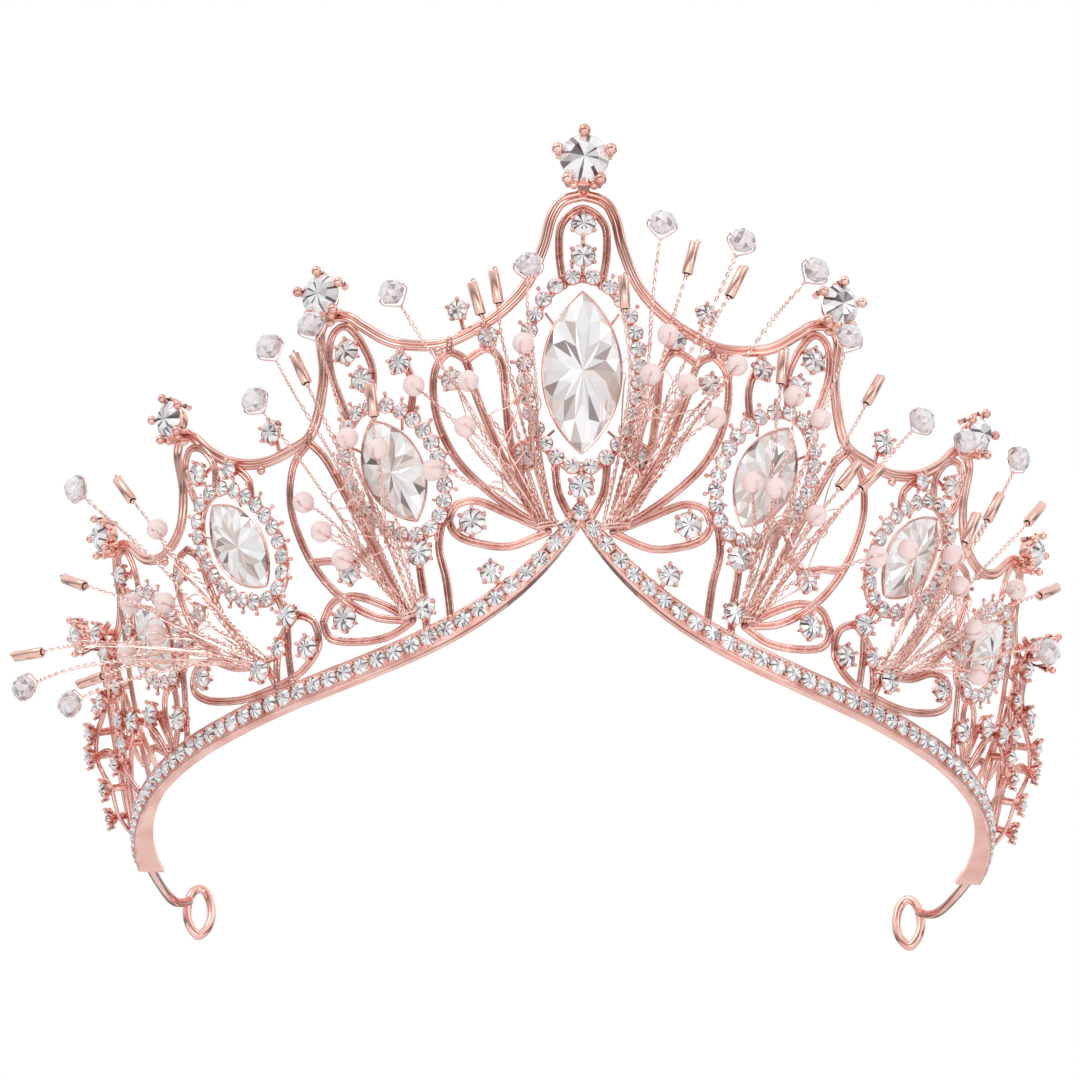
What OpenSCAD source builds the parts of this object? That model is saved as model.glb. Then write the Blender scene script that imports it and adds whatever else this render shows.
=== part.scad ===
// Bridal tiara: an open horseshoe crown with nine peaks, stone panels and wired bead sprays.
// Front faces -Y, +Z is up and the flat of the band rests on z = 0, under the middle of the crown.

/* [Band] */
// Radius of the band round the head
band_radius = 70; // [68:0.5:73]
// Angle from the front to each end of the band
end_angle = 96; // [92:1:98]
// How far the crown leans outward as it rises
flare = 14; // [12:1:16]
// Height of the band strip
band_h = 3.6; // [3.4:0.1:4]
// Thickness of the band strip at the front
band_t = 1.2; // [1:0.1:1.4]
// Rise of the band's point at the front
point_rise = 22.5; // [20:0.5:24]
// Distance over which that point dies away
point_fade = 15; // [13:0.5:17]
// Width of the smooth lip inside the band at the sides
lip_w = 2.4; // [2:0.1:3]
// How late the lip starts: a larger number keeps it nearer the ends
lip_taper = 2.4; // [1.4:0.1:3]

/* [Wires] */
// Thickness of the rim wire
rim_d = 1.7; // [1.4:0.1:2]
// Thickness of the scroll wires
scroll_d = 0.9; // [0.8:0.1:1.1]
// Thickness of the halo wire behind its stones
halo_wire_d = 1.8; // [1.5:0.1:2]
// Thickness of the twisted spray stems
stem_d = 0.5; // [0.4:0.05:0.6]
// Thickness of the end loop wire
loop_d = 1.8; // [1.6:0.1:2]

/* [Stones] */
// Radius of a stone in the band's row
row_r = 1.25; // [1.1:0.05:1.3]
// Spacing of the stones in the band's row
row_pitch = 2.9; // [2.8:0.1:3.2]
// Radius of a halo stone
halo_r = 1.15; // [0.9:0.05:1.2]

/* [Beads] */
// Radius of a crystal tip bead
crystal_r = 2; // [1.8:0.1:2.2]
// Radius of a pink bead
bead_r = 1.7; // [1.5:0.1:1.8]
// Length of a bugle tube
bugle_len = 5; // [4:0.5:6]
// Outer radius of a bugle tube
bugle_r = 0.8; // [0.7:0.05:0.9]

/* [Hidden] */
set_x = 3;
set_y = 28.6;
gold = "#d9a08f";
pale = "#f2ece9";
pink = "#ecc9c6";
$fn = 32;
WIRE_SIDES = 4;
STEM_SIDES = 3;
RIM_SIDES = 4;
LOOP_SIDES = 6;
STEM_STEPS = 5;
HALO_STEPS = 18;
crystal_bore = 0.45;
pin_d = 0.76;
fork_gap = 0.4;
stem_gap = 0.6;
fan = 0.6;

// Peaks: arc position from the front, height, radius and outward offset of the stone
PEAKS = [[0, 78.8, 3.8, 3], [33.8, 61.6, 3.2, 3], [60.6, 51.4, 2.9, 3], [82, 42.2, 2.6, 3],
    [98, 33.2, 2.4, 4.4]];

// Panels: arc position, height, half width and half length of the drop stone, outward tilt
PANELS = [[0, 46, 5.2, 12.6, 0], [26.2, 32.8, 4.2, 8.8, 20], [52.7, 28, 4.2, 8.8, 28],
    [75.5, 22, 3.8, 7.5, 32]];
HALO_GAP = [2.4, 2.3, 2.1, 1.9];
HALO_COUNT = [28, 24, 22, 18];

// Rim from the front to one end, as arc position and height
RIM = [[0, 74.2], [2.6, 73.2], [4, 70.5], [5, 66], [7, 60.5], [10, 56.5], [14, 53.5], [19, 51.7],
    [25, 53], [29, 56.3], [31, 58.3], [33.5, 59], [35.3, 57], [35.5, 50], [38, 42],
    [42, 40], [47, 39.6], [52, 41.5], [56, 45], [58.5, 48.3], [60.6, 49.2],
    [62.2, 47], [62.3, 41], [64.4, 35.6], [69, 33.2], [74, 34.8], [78, 39], [80.3, 40.3],
    [82.5, 40], [83.8, 37], [84.3, 33], [86.5, 29.8], [90, 28.6], [93.5, 29.5], [96.5, 30.6],
    [99, 29.8], [101, 26], [105, 17.6], [110, 11], [116, 3.4]];

// Loose set stones on one side: arc position, height, radius and outward offset
ACCENTS = [[7.6, 32.8, 1.8, 1.6], [12.2, 51.6, 1.5, 1.6], [16, 56.2, 1.5, 1.6],
    [17.2, 45.3, 1.6, 1.6], [24.2, 49, 1.6, 1.6], [15.2, 23, 2, 1.6], [12.8, 15, 1.6, 1.6],
    [31.4, 52.4, 1.9, 1.6], [29.6, 47.6, 1.7, 1.6], [23.1, 19.1, 1.9, 1.6], [23, 10.6, 1.7, 1.6],
    [34, 18, 1.7, 1.6], [35.5, 11.2, 1.9, 1.6], [42.4, 8.4, 1.7, 1.6], [44, 43.2, 1.8, 1.6],
    [45.2, 14.2, 1.7, 1.6], [47.6, 9.6, 1.3, 1.6], [51.7, 7.4, 1.8, 1.6], [52, 40, 1.3, 1.6],
    [58, 41.6, 1.7, 1.6], [65.1, 27.8, 1.3, 1.6], [62.4, 20.2, 1.6, 1.6], [65.9, 17.2, 1.1, 1.6],
    [64, 10.4, 1.7, 1.6], [71.4, 6.3, 1.8, 2], [80, 34.6, 1.7, 2], [78, 9.8, 1.8, 2.6],
    [84, 11.2, 1.8, 3], [88.6, 13.4, 1.5, 3.4], [87.6, 8.8, 1.5, 4], [90, 25.6, 1.7, 2.8],
    [90.4, 29.6, 1.7, 3.2], [88.4, 19.4, 1.5, 2.6], [96, 20.4, 1.7, 3.2], [101, 17, 1.6, 5.2],
    [103.8, 14.2, 1.6, 5.6], [96.4, 9.6, 1.6, 3], [102, 7.6, 1.6, 4.6], [101.4, 22, 1.4, 3],
    [108, 5.4, 1.5, 4]];
MIDDLE_ACCENTS = [[0, 69, 1.8, 1.6], [0, 64, 1.8, 1.6], [0, 27.8, 1.8, 1.6]];
// Short arms that carry set stones standing clear of the other wires
ARMS = [[[16, 56.2], [15.4, 53]], [[17.2, 45.3], [14.6, 46]], [[15.2, 23], [16, 20.6]],
    [[12.8, 15], [11.4, 12.7]], [[44, 43.2], [43.6, 39.9]], [[58, 41.6], [55.4, 42.4]],
    [[62.4, 20.2], [64.9, 19.2]], [[80, 34.6], [77.6, 35.4]]];
MIDDLE_ARMS = [[[0, 71.6], [0, 61.4]]];

// Scroll wires on one side, each a run of arc position and height
LEAF_A = [
    [[4.6, 21.4], [9, 24.5], [13.4, 28.5], [17, 33], [19.3, 38.5], [20, 44], [19.4, 48.2],
        [17.5, 50.3]],
    [[17.5, 50.3], [15.4, 48.6], [14.4, 44], [12.6, 38], [10.4, 32], [7.6, 26.6], [4.6, 21.4]],
    [[15.4, 48.6], [12.4, 50.2], [10.6, 47.6], [10.2, 42], [9.6, 35], [7.6, 28], [4.6, 21.4]],
    [[4.6, 21.4], [10, 24.2], [14.6, 26.6], [17.6, 26.2], [18.8, 24]],
    [[18.8, 24], [17.8, 21.8], [15, 20.2], [10, 19.3], [4.6, 21.4]],
    [[17.5, 50.3], [17.4, 52]], [[12.4, 50.2], [12.8, 54]]];
LEAF_B = [
    [[38.6, 40.2], [41.4, 37.6], [42.7, 33], [42.4, 28], [40.4, 21.6], [36.6, 15.6], [31, 11],
        [25, 9.4]],
    [[38.6, 40.2], [36.4, 37], [34, 31], [31.4, 24.4], [28.4, 17], [25, 9.4]],
    [[25, 9.4], [29.6, 12.6], [34, 14.8], [37.6, 14.6], [39.6, 12]],
    [[39.6, 12], [38.6, 9.2], [34, 7.7], [29, 7.6], [25, 9.4]],
    [[40.4, 21.6], [37, 21], [33.6, 19.8], [30.8, 21.6]], [[38.6, 40.2], [38.2, 42]]];
LEAF_C = [
    [[51, 8.4], [54.6, 12.4], [58, 18], [60, 24.4], [61, 29], [63.4, 31.6]],
    [[63.4, 31.6], [66.2, 30.6], [67, 26.6], [65.6, 20.6], [62.4, 15], [57.6, 10.8], [51, 8.4]],
    [[51, 8.4], [57, 9.8], [62, 12.6], [66.2, 12.6], [67.6, 10], [65, 7.4], [60, 5.4],
        [55, 4.4], [49.4, 4.4]],
    [[51, 8.4], [50.2, 6.4], [49.4, 4.4]],
    [[49.4, 4.4], [44.6, 5.4], [41, 8.4], [41.2, 12.4], [44, 14.4]],
    [[49.4, 4.4], [48.8, 8], [47.4, 11.6], [44, 14.4]]];
PANEL_2_WIRES = [
    [[19.6, 24.6], [20.4, 20], [19.6, 15], [19.2, 9]], [[22.4, 22.6], [23.4, 18], [23, 12], [23, 8]],
    [[28.9, 43.6], [28.2, 49], [29.6, 54], [31.6, 57], [33.8, 55.4], [34.2, 50], [32.2, 41.8]],
    [[23.4, 41.2], [22.8, 46], [24.2, 51.4]]];
PANEL_3_WIRES = [
    [[55.8, 38.2], [55.2, 42], [57, 45.6], [59.6, 46.4], [61, 43], [59.4, 36.4]],
    [[49.4, 34.6], [49.4, 37.6], [52, 41]], [[47.2, 18.4], [46, 14], [46.4, 9], [46.4, 4.4]]];
PANEL_4_WIRES = [
    [[77.8, 30], [77.4, 34], [79, 38.6], [81.6, 38.8], [82.4, 35], [81, 29.6]],
    [[69.2, 16.2], [70, 11], [71.6, 3.6]],
    [[76, 3.2], [73.4, 7], [72.6, 11.4], [73.6, 13.4]],
    [[73.6, 13.4], [76.2, 11.6], [76.8, 7.4], [76, 3.2]],
    [[76, 3.2], [78, 8], [79.8, 12.4], [82, 12.8]], [[82, 12.8], [82.4, 9], [79.6, 5.6], [76, 3.2]]];
PANEL_4_DOTS = [[76, 3.2], [73.6, 13.4], [82, 12.8]];
TAIL_WIRES = [
    [[84.2, 32], [85.4, 25], [86.8, 18], [86.4, 11], [83, 3.2]],
    [[90, 28.6], [91, 24], [90, 18], [88, 11], [87, 3.2]],
    [[79, 4], [83, 6.6], [87, 5.6], [90, 8], [92, 11], [96, 8], [98, 3.2]],
    [[98, 30], [96.6, 25], [95.6, 19], [97.6, 12], [103, 3.2]],
    [[86, 14], [90, 16], [95, 17], [101, 15], [105, 10], [108, 3.4]],
    [[88, 24], [93, 25], [98, 24], [101.6, 20]]];
CENTRE_WIRES = [
    [[-2.4, 59.6], [-3, 65], [-2.6, 69.6], [0, 72], [2.6, 69.6], [3, 65], [2.4, 59.6]],
    [[-3.6, 32.4], [-3.2, 27.6], [-1.6, 23.8]], [[3.6, 32.4], [3.2, 27.6], [1.6, 23.8]],
    [[0, 31], [0, 25]], [[-5.9, 36.2], [-9.4, 34], [-8.4, 31.2], [-6.2, 32]],
    [[5.9, 36.2], [9.4, 34], [8.4, 31.2], [6.2, 32]]];

// Spray stems: arc position, height and outward offset of the tip, and what it carries
CRYSTAL = 0;
BEAD = 1;
BUGLE = 2;
SPRAY_A_LEFT = [[-23.5, 58, 6, CRYSTAL], [-6.6, 60.4, 6, CRYSTAL], [-13, 55.4, 6, BUGLE],
    [-10.6, 57, 6, BUGLE], [-7.4, 48, 6, BEAD], [-15, 35.6, 6, BEAD], [-14.4, 42.6, 6, BEAD],
    [-19.6, 29.4, 6, BEAD], [-21.6, 43.4, 5, BEAD]];
SPRAY_A_RIGHT = [[9.2, 67.6, 6, CRYSTAL], [19, 66.4, 6, CRYSTAL], [28.4, 63.6, 7, CRYSTAL],
    [12.8, 62.4, 6, BUGLE], [18.6, 59.6, 6, BUGLE], [4.8, 55.6, 7, BUGLE], [10.4, 50, 6, BEAD],
    [8.4, 43.6, 6, BEAD], [13.2, 42.6, 6, BEAD], [17, 38, 6, BEAD], [19.4, 46.6, 6, BEAD]];
SPRAY_B_LEFT = [[-40.5, 54, 6, CRYSTAL], [-43.6, 46.4, 6, CRYSTAL], [-33.6, 54.4, 8, CRYSTAL],
    [-36.4, 49, 6, BUGLE], [-27, 41.6, 6, BUGLE], [-26.4, 33.4, 7, BEAD], [-38.4, 28.8, 5, BEAD],
    [-36.2, 23.6, 5, BEAD], [-33.4, 18.6, 5, BEAD], [-30.4, 36, 7, BEAD]];
SPRAY_B_RIGHT = [[33.4, 54, 8, CRYSTAL], [47, 46.4, 6, CRYSTAL], [38.6, 48, 6, BUGLE],
    [25.4, 47.6, 6, BUGLE], [31.4, 41, 6, BEAD], [27.4, 43.6, 6, BEAD], [22.2, 28.4, 7, BEAD],
    [25.6, 28.2, 7, BEAD], [32.2, 26, 6, BEAD], [36.4, 33.6, 6, BUGLE], [40, 34.4, 6, BUGLE],
    [42.6, 22.6, 6, BEAD]];
SPRAY_C_LEFT = [[-78, 47.2, 8.2, CRYSTAL], [-69, 42.6, 6, BUGLE], [-63.6, 33.4, 6, BEAD],
    [-80, 31.5, 10.5, BUGLE], [-72.6, 25, 6, BEAD], [-64.6, 21.6, 6, BEAD],
    [-67.6, 17.6, 6, BEAD], [-76, 18.2, 6, BEAD], [-78, 15.4, 22.6, BUGLE],
    [-80, 10.8, 23.2, CRYSTAL], [-80, 9.6, 15.6, CRYSTAL], [-80, 14.6, 11, BUGLE]];
SPRAY_C_RIGHT = [[64.4, 47.6, 8, CRYSTAL], [53.4, 45, 8, CRYSTAL], [82, 23.8, 8.6, CRYSTAL],
    [62, 38.4, 7, BUGLE], [74, 44, 5.6, BUGLE], [80, 33.4, 7.4, BUGLE], [58, 33, 7, BUGLE],
    [55.4, 27.4, 7, BEAD], [58.6, 24, 6, BEAD], [72.4, 30, 6, BEAD], [63.6, 19, 6, BEAD],
    [66.6, 12.8, 6, BEAD], [47, 25, 7, BEAD]];
SPRAYS = [SPRAY_A_LEFT, SPRAY_A_RIGHT, SPRAY_B_LEFT, SPRAY_B_RIGHT, SPRAY_C_LEFT, SPRAY_C_RIGHT];
ROOTS = [[-4.8, 21.6], [4.8, 21.6], [-24.6, 9.6], [24.6, 9.6], [-51, 8], [51, 8]];
LEANS = [[-5, 13], [5, 13], [-5, 12], [5, 12], [-9, 9], [9, 9]];
crystal_tips = [for (i = [0:5]) for (t = SPRAYS[i]) if (t[3] == CRYSTAL) [t, i]];

// Where an arc position, height and outward offset lie in space
function turn(u) = u / band_radius * 180 / PI;
function reach(h, w) = band_radius + h * tan(flare) + w;
function place(p, w = 0) = [reach(p[1], w) * sin(turn(p[0])), -reach(p[1], w) * cos(turn(p[0])), p[1]];
function outward(u) = [sin(turn(u)) * cos(flare), -cos(turn(u)) * cos(flare), -sin(flare)];
function flip(run) = [for (p = run) [-p[0], p[1]]];
function side_of(run, s) = s < 0 ? flip(run) : run;
function last(run) = run[len(run) - 1];

// Smooth run through given points, with n steps to each span
function bend(a, b, c, d, t) = 0.5 * (2 * b + (c - a) * t + (2 * a - 5 * b + 4 * c - d) * t * t
    + (3 * b - a - 3 * c + d) * t * t * t);
function smooth(p, n = 2) = [for (i = [0:len(p) - 2]) for (k = [0:n - 1])
    bend(p[max(i - 1, 0)], p[i], p[i + 1], p[min(i + 2, len(p) - 1)], k / n), last(p)];

// Height of the band's lower edge at an arc position
function band_low(u) = max(0, (point_rise + 0.4) * exp(-abs(u) / point_fade) - 0.4);
function band_mid(u) = band_low(u) + 2;

// Wire of a given thickness along points in space, with its ring turned to face outward
function unit(v) = v / norm(v);
function heading(p, i) = unit(p[min(i + 1, len(p) - 1)] - p[max(i - 1, 0)]);
function ring(p, i, r, n) = let (t = heading(p, i), o = unit([p[i][0], p[i][1], -20]),
    a = unit(o - (o * t) * t), b = cross(t, a))
    [for (k = [0:n - 1]) p[i] + r * (cos((k + 0.5) * 360 / n) * a + sin((k + 0.5) * 360 / n) * b)];
module wire(p, d, n = WIRE_SIDES) {
    m = len(p);
    points = [for (i = [0:m - 1]) each ring(p, i, d / 2, n)];
    sides = [for (i = [0:m - 2]) for (k = [0:n - 1])
        [(i + 1) * n + k, (i + 1) * n + (k + 1) % n, i * n + (k + 1) % n, i * n + k]];
    ends = [[for (k = [0:n - 1]) k], [for (k = [n - 1:-1:0]) (m - 1) * n + k]];
    polyhedron(points, concat(sides, ends), convexity = 6);
}
module scrolls(runs, s, d = scroll_d, w = 0.6) {
    for (run = runs)
        wire([for (p = smooth(side_of(run, s))) place(p, w)], d);
}

// Put children on the crown's surface, their Z outward and their Y up the surface
module on_crown(u, h, w = 0, tilt = 0) {
    translate(place([u, h], w))
        rotate([0, 0, turn(u)])
            rotate([90 + flare, 0, 0])
                rotate([0, 0, tilt])
                    children();
}

// Round cut stone, its widest circle on z = 0
module stone(r) {
    cylinder(h = 0.36 * r, r1 = r, r2 = 0.58 * r);
    translate([0, 0, -0.7 * r])
        cylinder(h = 0.7 * r, r1 = 0.1 * r, r2 = r);
}
module cup(r, w) {
    translate([0, 0, -w])
        cylinder(h = w - 0.1, r = r + 0.25, $fn = 24);
}

// Pointed oval drop stone: two leaning cones that cross, flat in front and keeled behind
module marquise(half_w, half_l, depth = 2.4) {
    big_r = (half_w * half_w + half_l * half_l) / (2 * half_w);
    intersection_for (s = [-1, 1])
        translate([s * (big_r - half_w), 0, 0]) {
            cylinder(h = depth * 0.55, r1 = big_r, r2 = big_r - half_w * 0.55, $fn = 96);
            translate([0, 0, -depth])
                cylinder(h = depth, r1 = big_r - half_w * 0.5, r2 = big_r, $fn = 96);
        }
}

// Halo: a ring of round stones on an oval wire round a drop stone
function halo_point(i, t) = let (q = PANELS[i], g = HALO_GAP[i], x = (q[2] + g) * cos(t),
    y = (q[3] + g) * sin(t)) [q[0] + x * cos(q[4]) + y * sin(q[4]), q[1] - x * sin(q[4]) + y * cos(q[4])];
// Turn round the oval against length along it, for stones at an even spacing
function halo_table(i) = [for (t = 90, run = 0; t <= 450; t = t + 3,
    run = run + norm(halo_point(i, t) - halo_point(i, t - 3))) [run, t]];
function halo_turns(i) = let (m = halo_table(i), n = HALO_COUNT[i])
    [for (k = [0:n - 1]) lookup((k + 0.5) * last(m)[0] / n, m)];
function halo_run(i, n) = [for (k = [0:n]) halo_point(i, 90 + k * 360 / n)];
module panel_frame(i, s, extra, dots = []) {
    color(gold)
        union() {
            wire([for (p = side_of(halo_run(i, HALO_STEPS), s)) place(p, 0.4)], halo_wire_d);
            scrolls(extra, s);
            for (t = [45:90:315])
                bezel_claw(i, s, t);
            for (p = dots)
                solder(side_of([p], s)[0]);
        }
}
module bezel_claw(i, s, t) {
    q = PANELS[i];
    a = side_of([halo_point(i, t)], s)[0];
    c = [s * q[0] + (a[0] - s * q[0]) * 0.68, q[1] + (a[1] - q[1]) * 0.76];
    b = [s * q[0] + (a[0] - s * q[0]) * 0.9, q[1] + (a[1] - q[1]) * 0.92];
    hull() {
        translate(place(b, 0.4))
            hull()
                cube(0.7, center = true);
        translate(place(c, -0.9))
            hull()
                cube(0.6, center = true);
    }
}
module leaf_frame(runs, s) {
    color(gold)
        union() {
            scrolls(runs, s);
            for (p = joints(runs))
                solder(side_of([p], s)[0]);
        }
}
// Solder dots stand where runs end, one to each place
function ends(runs) = [for (run = runs) each [run[0], last(run)]];
function joints(runs) = let (p = ends(runs)) [for (k = [0:len(p) - 1])
    if (len([for (j = [0:1:k - 1]) if (norm(p[j] - p[k]) < 0.7) j]) == 0) p[k]];
module solder(p) {
    hull()
        for (w = [0.2, 1])
            on_crown(p[0], p[1], w)
                hull()
                    cube([1.3, 1.3, 0.5], center = true);
}

// Band: a leaning strip with a point at the front and a smooth lip that widens to the sides
module band_outline() {
    steps = 24;
    reach_u = 62;
    far = 100;
    low = [for (k = [-steps:steps]) let (u = sign(k) * pow(abs(k) / steps, 1.4) * reach_u)
        [band_radius * sin(turn(u)), band_low(u)]];
    polygon(concat([[-far, 0]], low, [[far, 0], [far, band_h]],
        [for (k = [len(low) - 1:-1:0]) [low[k][0], low[k][1] + band_h]], [[-far, band_h]]));
}
module base_band() {
    tall = point_rise + band_h + 1;
    r0 = band_radius - band_t / 2;
    r1 = r0 + tall * tan(flare);
    lip_r = r0 + 0.6 - lip_w;
    back = 200;
    color(gold)
        difference() {
            intersection() {
                union() {
                    difference() {
                        cylinder(h = tall, r1 = r0 + band_t, r2 = r1 + band_t, $fn = 180);
                        translate([0, 0, -0.01])
                            cylinder(h = tall + 0.02, r1 = r0, r2 = r1, $fn = 180);
                    }
                    difference() {
                        cylinder(h = 0.8, r = r0 + 0.6, $fn = 180);
                        translate([0, -lip_taper * lip_w, -1])
                            cylinder(h = 3, r = lip_r, $fn = 180);
                    }
                }
                translate([0, back, 0])
                    rotate([90, 0, 0])
                        linear_extrude(2 * back)
                            band_outline();
            }
            translate([-back / 2, -band_radius * cos(end_angle), -1])
                cube([back, back, 60]);
        }
}
function turn_length() = end_angle * PI / 180 * band_radius - 1.6;
// Arc position after a given run along the row, which is longer than the arc where it climbs
function slope(u) = norm([1, (band_low(u + 0.5) - band_low(u - 0.5))]);
function march(u, left) = left <= 0 ? u : march(u + 0.29 / slope(u), left - 0.29);
ROW = [for (k = [0:60]) let (u = march(0, k * row_pitch)) if (u < turn_length()) u];
module band_stones() {
    color(pale)
        for (s = [-1, 1])
            for (k = [(s > 0 ? 0 : 1):len(ROW) - 1])
                on_crown(s * ROW[k], band_mid(ROW[k]), band_t / 2 + 0.1)
                    stone(row_r);
}

// End loops: a wire soldered inside each end of the band and bent into a closed eye
module end_loop(s) {
    eye = [61.6, 36.4, 5.5];
    eye_half_w = 2.2;
    eye_half_h = 4.4;
    across = [-0.95, 0.3, 0];
    rest_z = loop_d / 2 + 0.8;
    run = smooth([[69, 1, rest_z], [68.8, 8, rest_z], [67.4, 18, rest_z + 0.8],
        [65.6, 29, rest_z + 2.6], eye + [1.9, -0.6, 1.8]], 3);
    color(gold)
        union() {
            wire([for (p = run) [s * p[0], p[1], p[2]]], loop_d, LOOP_SIDES);
            wire([for (a = [0:20:360]) let (p = eye + eye_half_w * cos(a) * across
                + [0, 0, eye_half_h * sin(a)]) [s * p[0], p[1], p[2]]], loop_d, LOOP_SIDES);
            for (k = [0:7])
                hull()
                    translate([s * 69, 1 + k * 0.5, rest_z])
                        cube(0.9, center = true);
        }
}

// Rim, with a rounded rail
module top_rim() {
    half_run = smooth(RIM, 2);
    color(gold)
        union() {
            for (s = [-1, 1])
                wire([for (p = side_of(half_run, s)) place(p, 0.4)], rim_d, RIM_SIDES);
            for (s = [-1, 1])
                for (k = [11, 19, 26, 39])
                    solder(side_of([RIM[k]], s)[0]);
        }
}

// Peaks: a five-clawed cup on a short stalk
module peak_setting(i, s) {
    q = PEAKS[i];
    r = q[2];
    color(gold)
        on_crown(s * q[0], q[1], q[3]) {
            translate([0, 0, -r * 0.9])
                cylinder(h = r * 0.8, r = r * 0.92, $fn = 32);
            for (k = [0:4])
                rotate([0, 0, 90 + k * 72]) {
                    translate([r + 0.6, 0, 0.5])
                        sphere(r = r * 0.27, $fn = 16);
                    translate([r + 0.35, 0, -r * 0.8])
                        cylinder(h = r * 0.8 + 0.5, r = r * 0.14, $fn = 16);
                    translate([0, -r * 0.14, -r * 0.8])
                        cube([r + 0.35, r * 0.28, r * 0.3]);
                }
            translate([0, -r - 0.5, -q[3] + 0.4])
                cylinder(h = q[3] - 0.6, r = r * 0.3, $fn = 24);
            translate([-r * 0.3, -r - 0.5, -r * 0.8])
                cube([r * 0.6, r, r * 0.5]);
        }
}
module peak_pair(i) {
    for (s = [-1, 1])
        peak_setting(i, s);
}
module peak_stones() {
    color(pale)
        for (i = [0:4])
            for (s = i == 0 ? [1] : [-1, 1])
                on_crown(s * PEAKS[i][0], PEAKS[i][1], PEAKS[i][3])
                    stone(PEAKS[i][2]);
}
module panel_marquise(i, s) {
    q = PANELS[i];
    color(pale)
        on_crown(s * q[0], q[1], 0.8, -s * q[4])
            marquise(q[2] * reach(q[1], 0) / band_radius, q[3] / cos(flare));
}
module marquise_pair(i) {
    for (s = [-1, 1])
        panel_marquise(i, s);
}
module halo_stones() {
    color(pale)
        for (i = [0:3])
            for (s = i == 0 ? [1] : [-1, 1])
                for (t = halo_turns(i)) {
                    p = side_of([halo_point(i, t)], s)[0];
                    on_crown(p[0], p[1], 1.2)
                        stone(halo_r);
                }
}
module accent_cups() {
    color(gold)
        union()
            for (s = [-1, 1]) {
                for (p = concat(ACCENTS, s > 0 ? MIDDLE_ACCENTS : []))
                    on_crown(s * p[0], p[1], p[3])
                        cup(p[2], p[3]);
                for (run = concat(ARMS, s > 0 ? MIDDLE_ARMS : []))
                    wire([for (p = side_of(run, s)) place(p, 0.4)], scroll_d);
            }
}
module accent_stones() {
    color(pale)
        for (s = [-1, 1])
            for (p = concat(ACCENTS, s > 0 ? MIDDLE_ACCENTS : []))
                on_crown(s * p[0], p[1], p[3])
                    stone(p[2]);
}

// Sprays: twisted wire stems that fan out of a root on the frame
// Stems stand side by side at the root, in the order of their tips
function stem_rank(i, t) = len([for (q = SPRAYS[i]) if (q[0] + q[1] / 90 < t[0] + t[1] / 90) 1]);
function root_shift(i, n) = [stem_gap * (n - (len(SPRAYS[i]) - 1) / 2), 0];
function stem_run(i, t) = let (a = place(ROOTS[i] + root_shift(i, stem_rank(i, t)), 1.4),
    b = place([ROOTS[i][0] + LEANS[i][0] * (1 - fan) + (t[0] - ROOTS[i][0]) * fan * 0.5,
        ROOTS[i][1] + LEANS[i][1] * (1 - fan) + (t[1] - ROOTS[i][1]) * fan * 0.5], t[2] * 0.6),
    c = place([t[0], t[1]], t[2]))
    [for (j = [0:STEM_STEPS]) let (k = j / STEM_STEPS)
        (1 - k) * (1 - k) * a + 2 * k * (1 - k) * b + k * k * c];
function end_dir(run) = unit(last(run) - run[len(run) - 2]);
function shorten(run, d) = concat([for (k = [0:len(run) - 2]) run[k]], [last(run) - d * end_dir(run)]);
function carry(t) = t[3] == CRYSTAL ? crystal_r + 0.7 : t[3] == BEAD ? 0 : -0.5;
// A crystal turns on a short pin across the end of its stem, held by a wire fork round it
function pin_dir(run) = unit(cross(end_dir(run), [last(run)[0], last(run)[1], 0]));
module fork(i, t) {
    run = stem_run(i, t);
    c = last(run);
    up = end_dir(run);
    side = pin_dir(run);
    arm = crystal_r + fork_gap;
    for (s = [-1, 1]) {
        strut(c + s * arm * side, c + s * (arm - 0.2) * side - 1.6 * up);
        strut(c + s * (arm - 0.2) * side - 1.6 * up, c - carry(t) * up);
    }
    wire([c - arm * side, c + arm * side], pin_d, LOOP_SIDES);
}
module strut(a, b, d = 0.4) {
    hull()
        for (p = [a, b])
            translate(p)
                cube(d, center = true);
}
module spray(i) {
    color(gold)
        union() {
            for (t = SPRAYS[i]) {
                wire(shorten(stem_run(i, t), carry(t)), stem_d, STEM_SIDES);
                if (t[3] == CRYSTAL)
                    fork(i, t);
            }
            strut(place(ROOTS[i] + root_shift(i, -0.3), 1.2),
                place(ROOTS[i] + root_shift(i, len(SPRAYS[i]) - 0.7), 1.2), 0.9);
        }
}
module align(d) {
    rotate([0, acos(d[2] / norm(d)), atan2(d[1], d[0])])
        children();
}
module pink_beads() {
    color(pink)
        for (i = [0:5])
            for (t = SPRAYS[i])
                if (t[3] == BEAD)
                    translate(last(stem_run(i, t)))
                        sphere(r = bead_r, $fn = 24);
}
module bugle_tubes() {
    color(gold)
        for (i = [0:5])
            for (t = SPRAYS[i])
                if (t[3] == BUGLE)
                    translate(last(stem_run(i, t)))
                        align(end_dir(stem_run(i, t)))
                            difference() {
                                cylinder(h = bugle_len, r = bugle_r, center = true, $fn = 24);
                                translate([0, 0, 0.8])
                                    cylinder(h = bugle_len, r = bugle_r - 0.3, center = true, $fn = 24);
                            }
}
// Crystal bead with two cone ends, bored for its pin
module crystal(k) {
    t = crystal_tips[k][0];
    i = crystal_tips[k][1];
    color(pink)
        translate(last(stem_run(i, t)))
            align(pin_dir(stem_run(i, t)))
                difference() {
                    rotate_extrude($fn = 32)
                        polygon([[0, -crystal_r], [0.9, -crystal_r], [crystal_r, -0.4], [crystal_r, 0.4],
                            [0.9, crystal_r], [0, crystal_r]]);
                    cylinder(h = 3 * crystal_r, r = crystal_bore, center = true, $fn = 32);
                }
}

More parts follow.
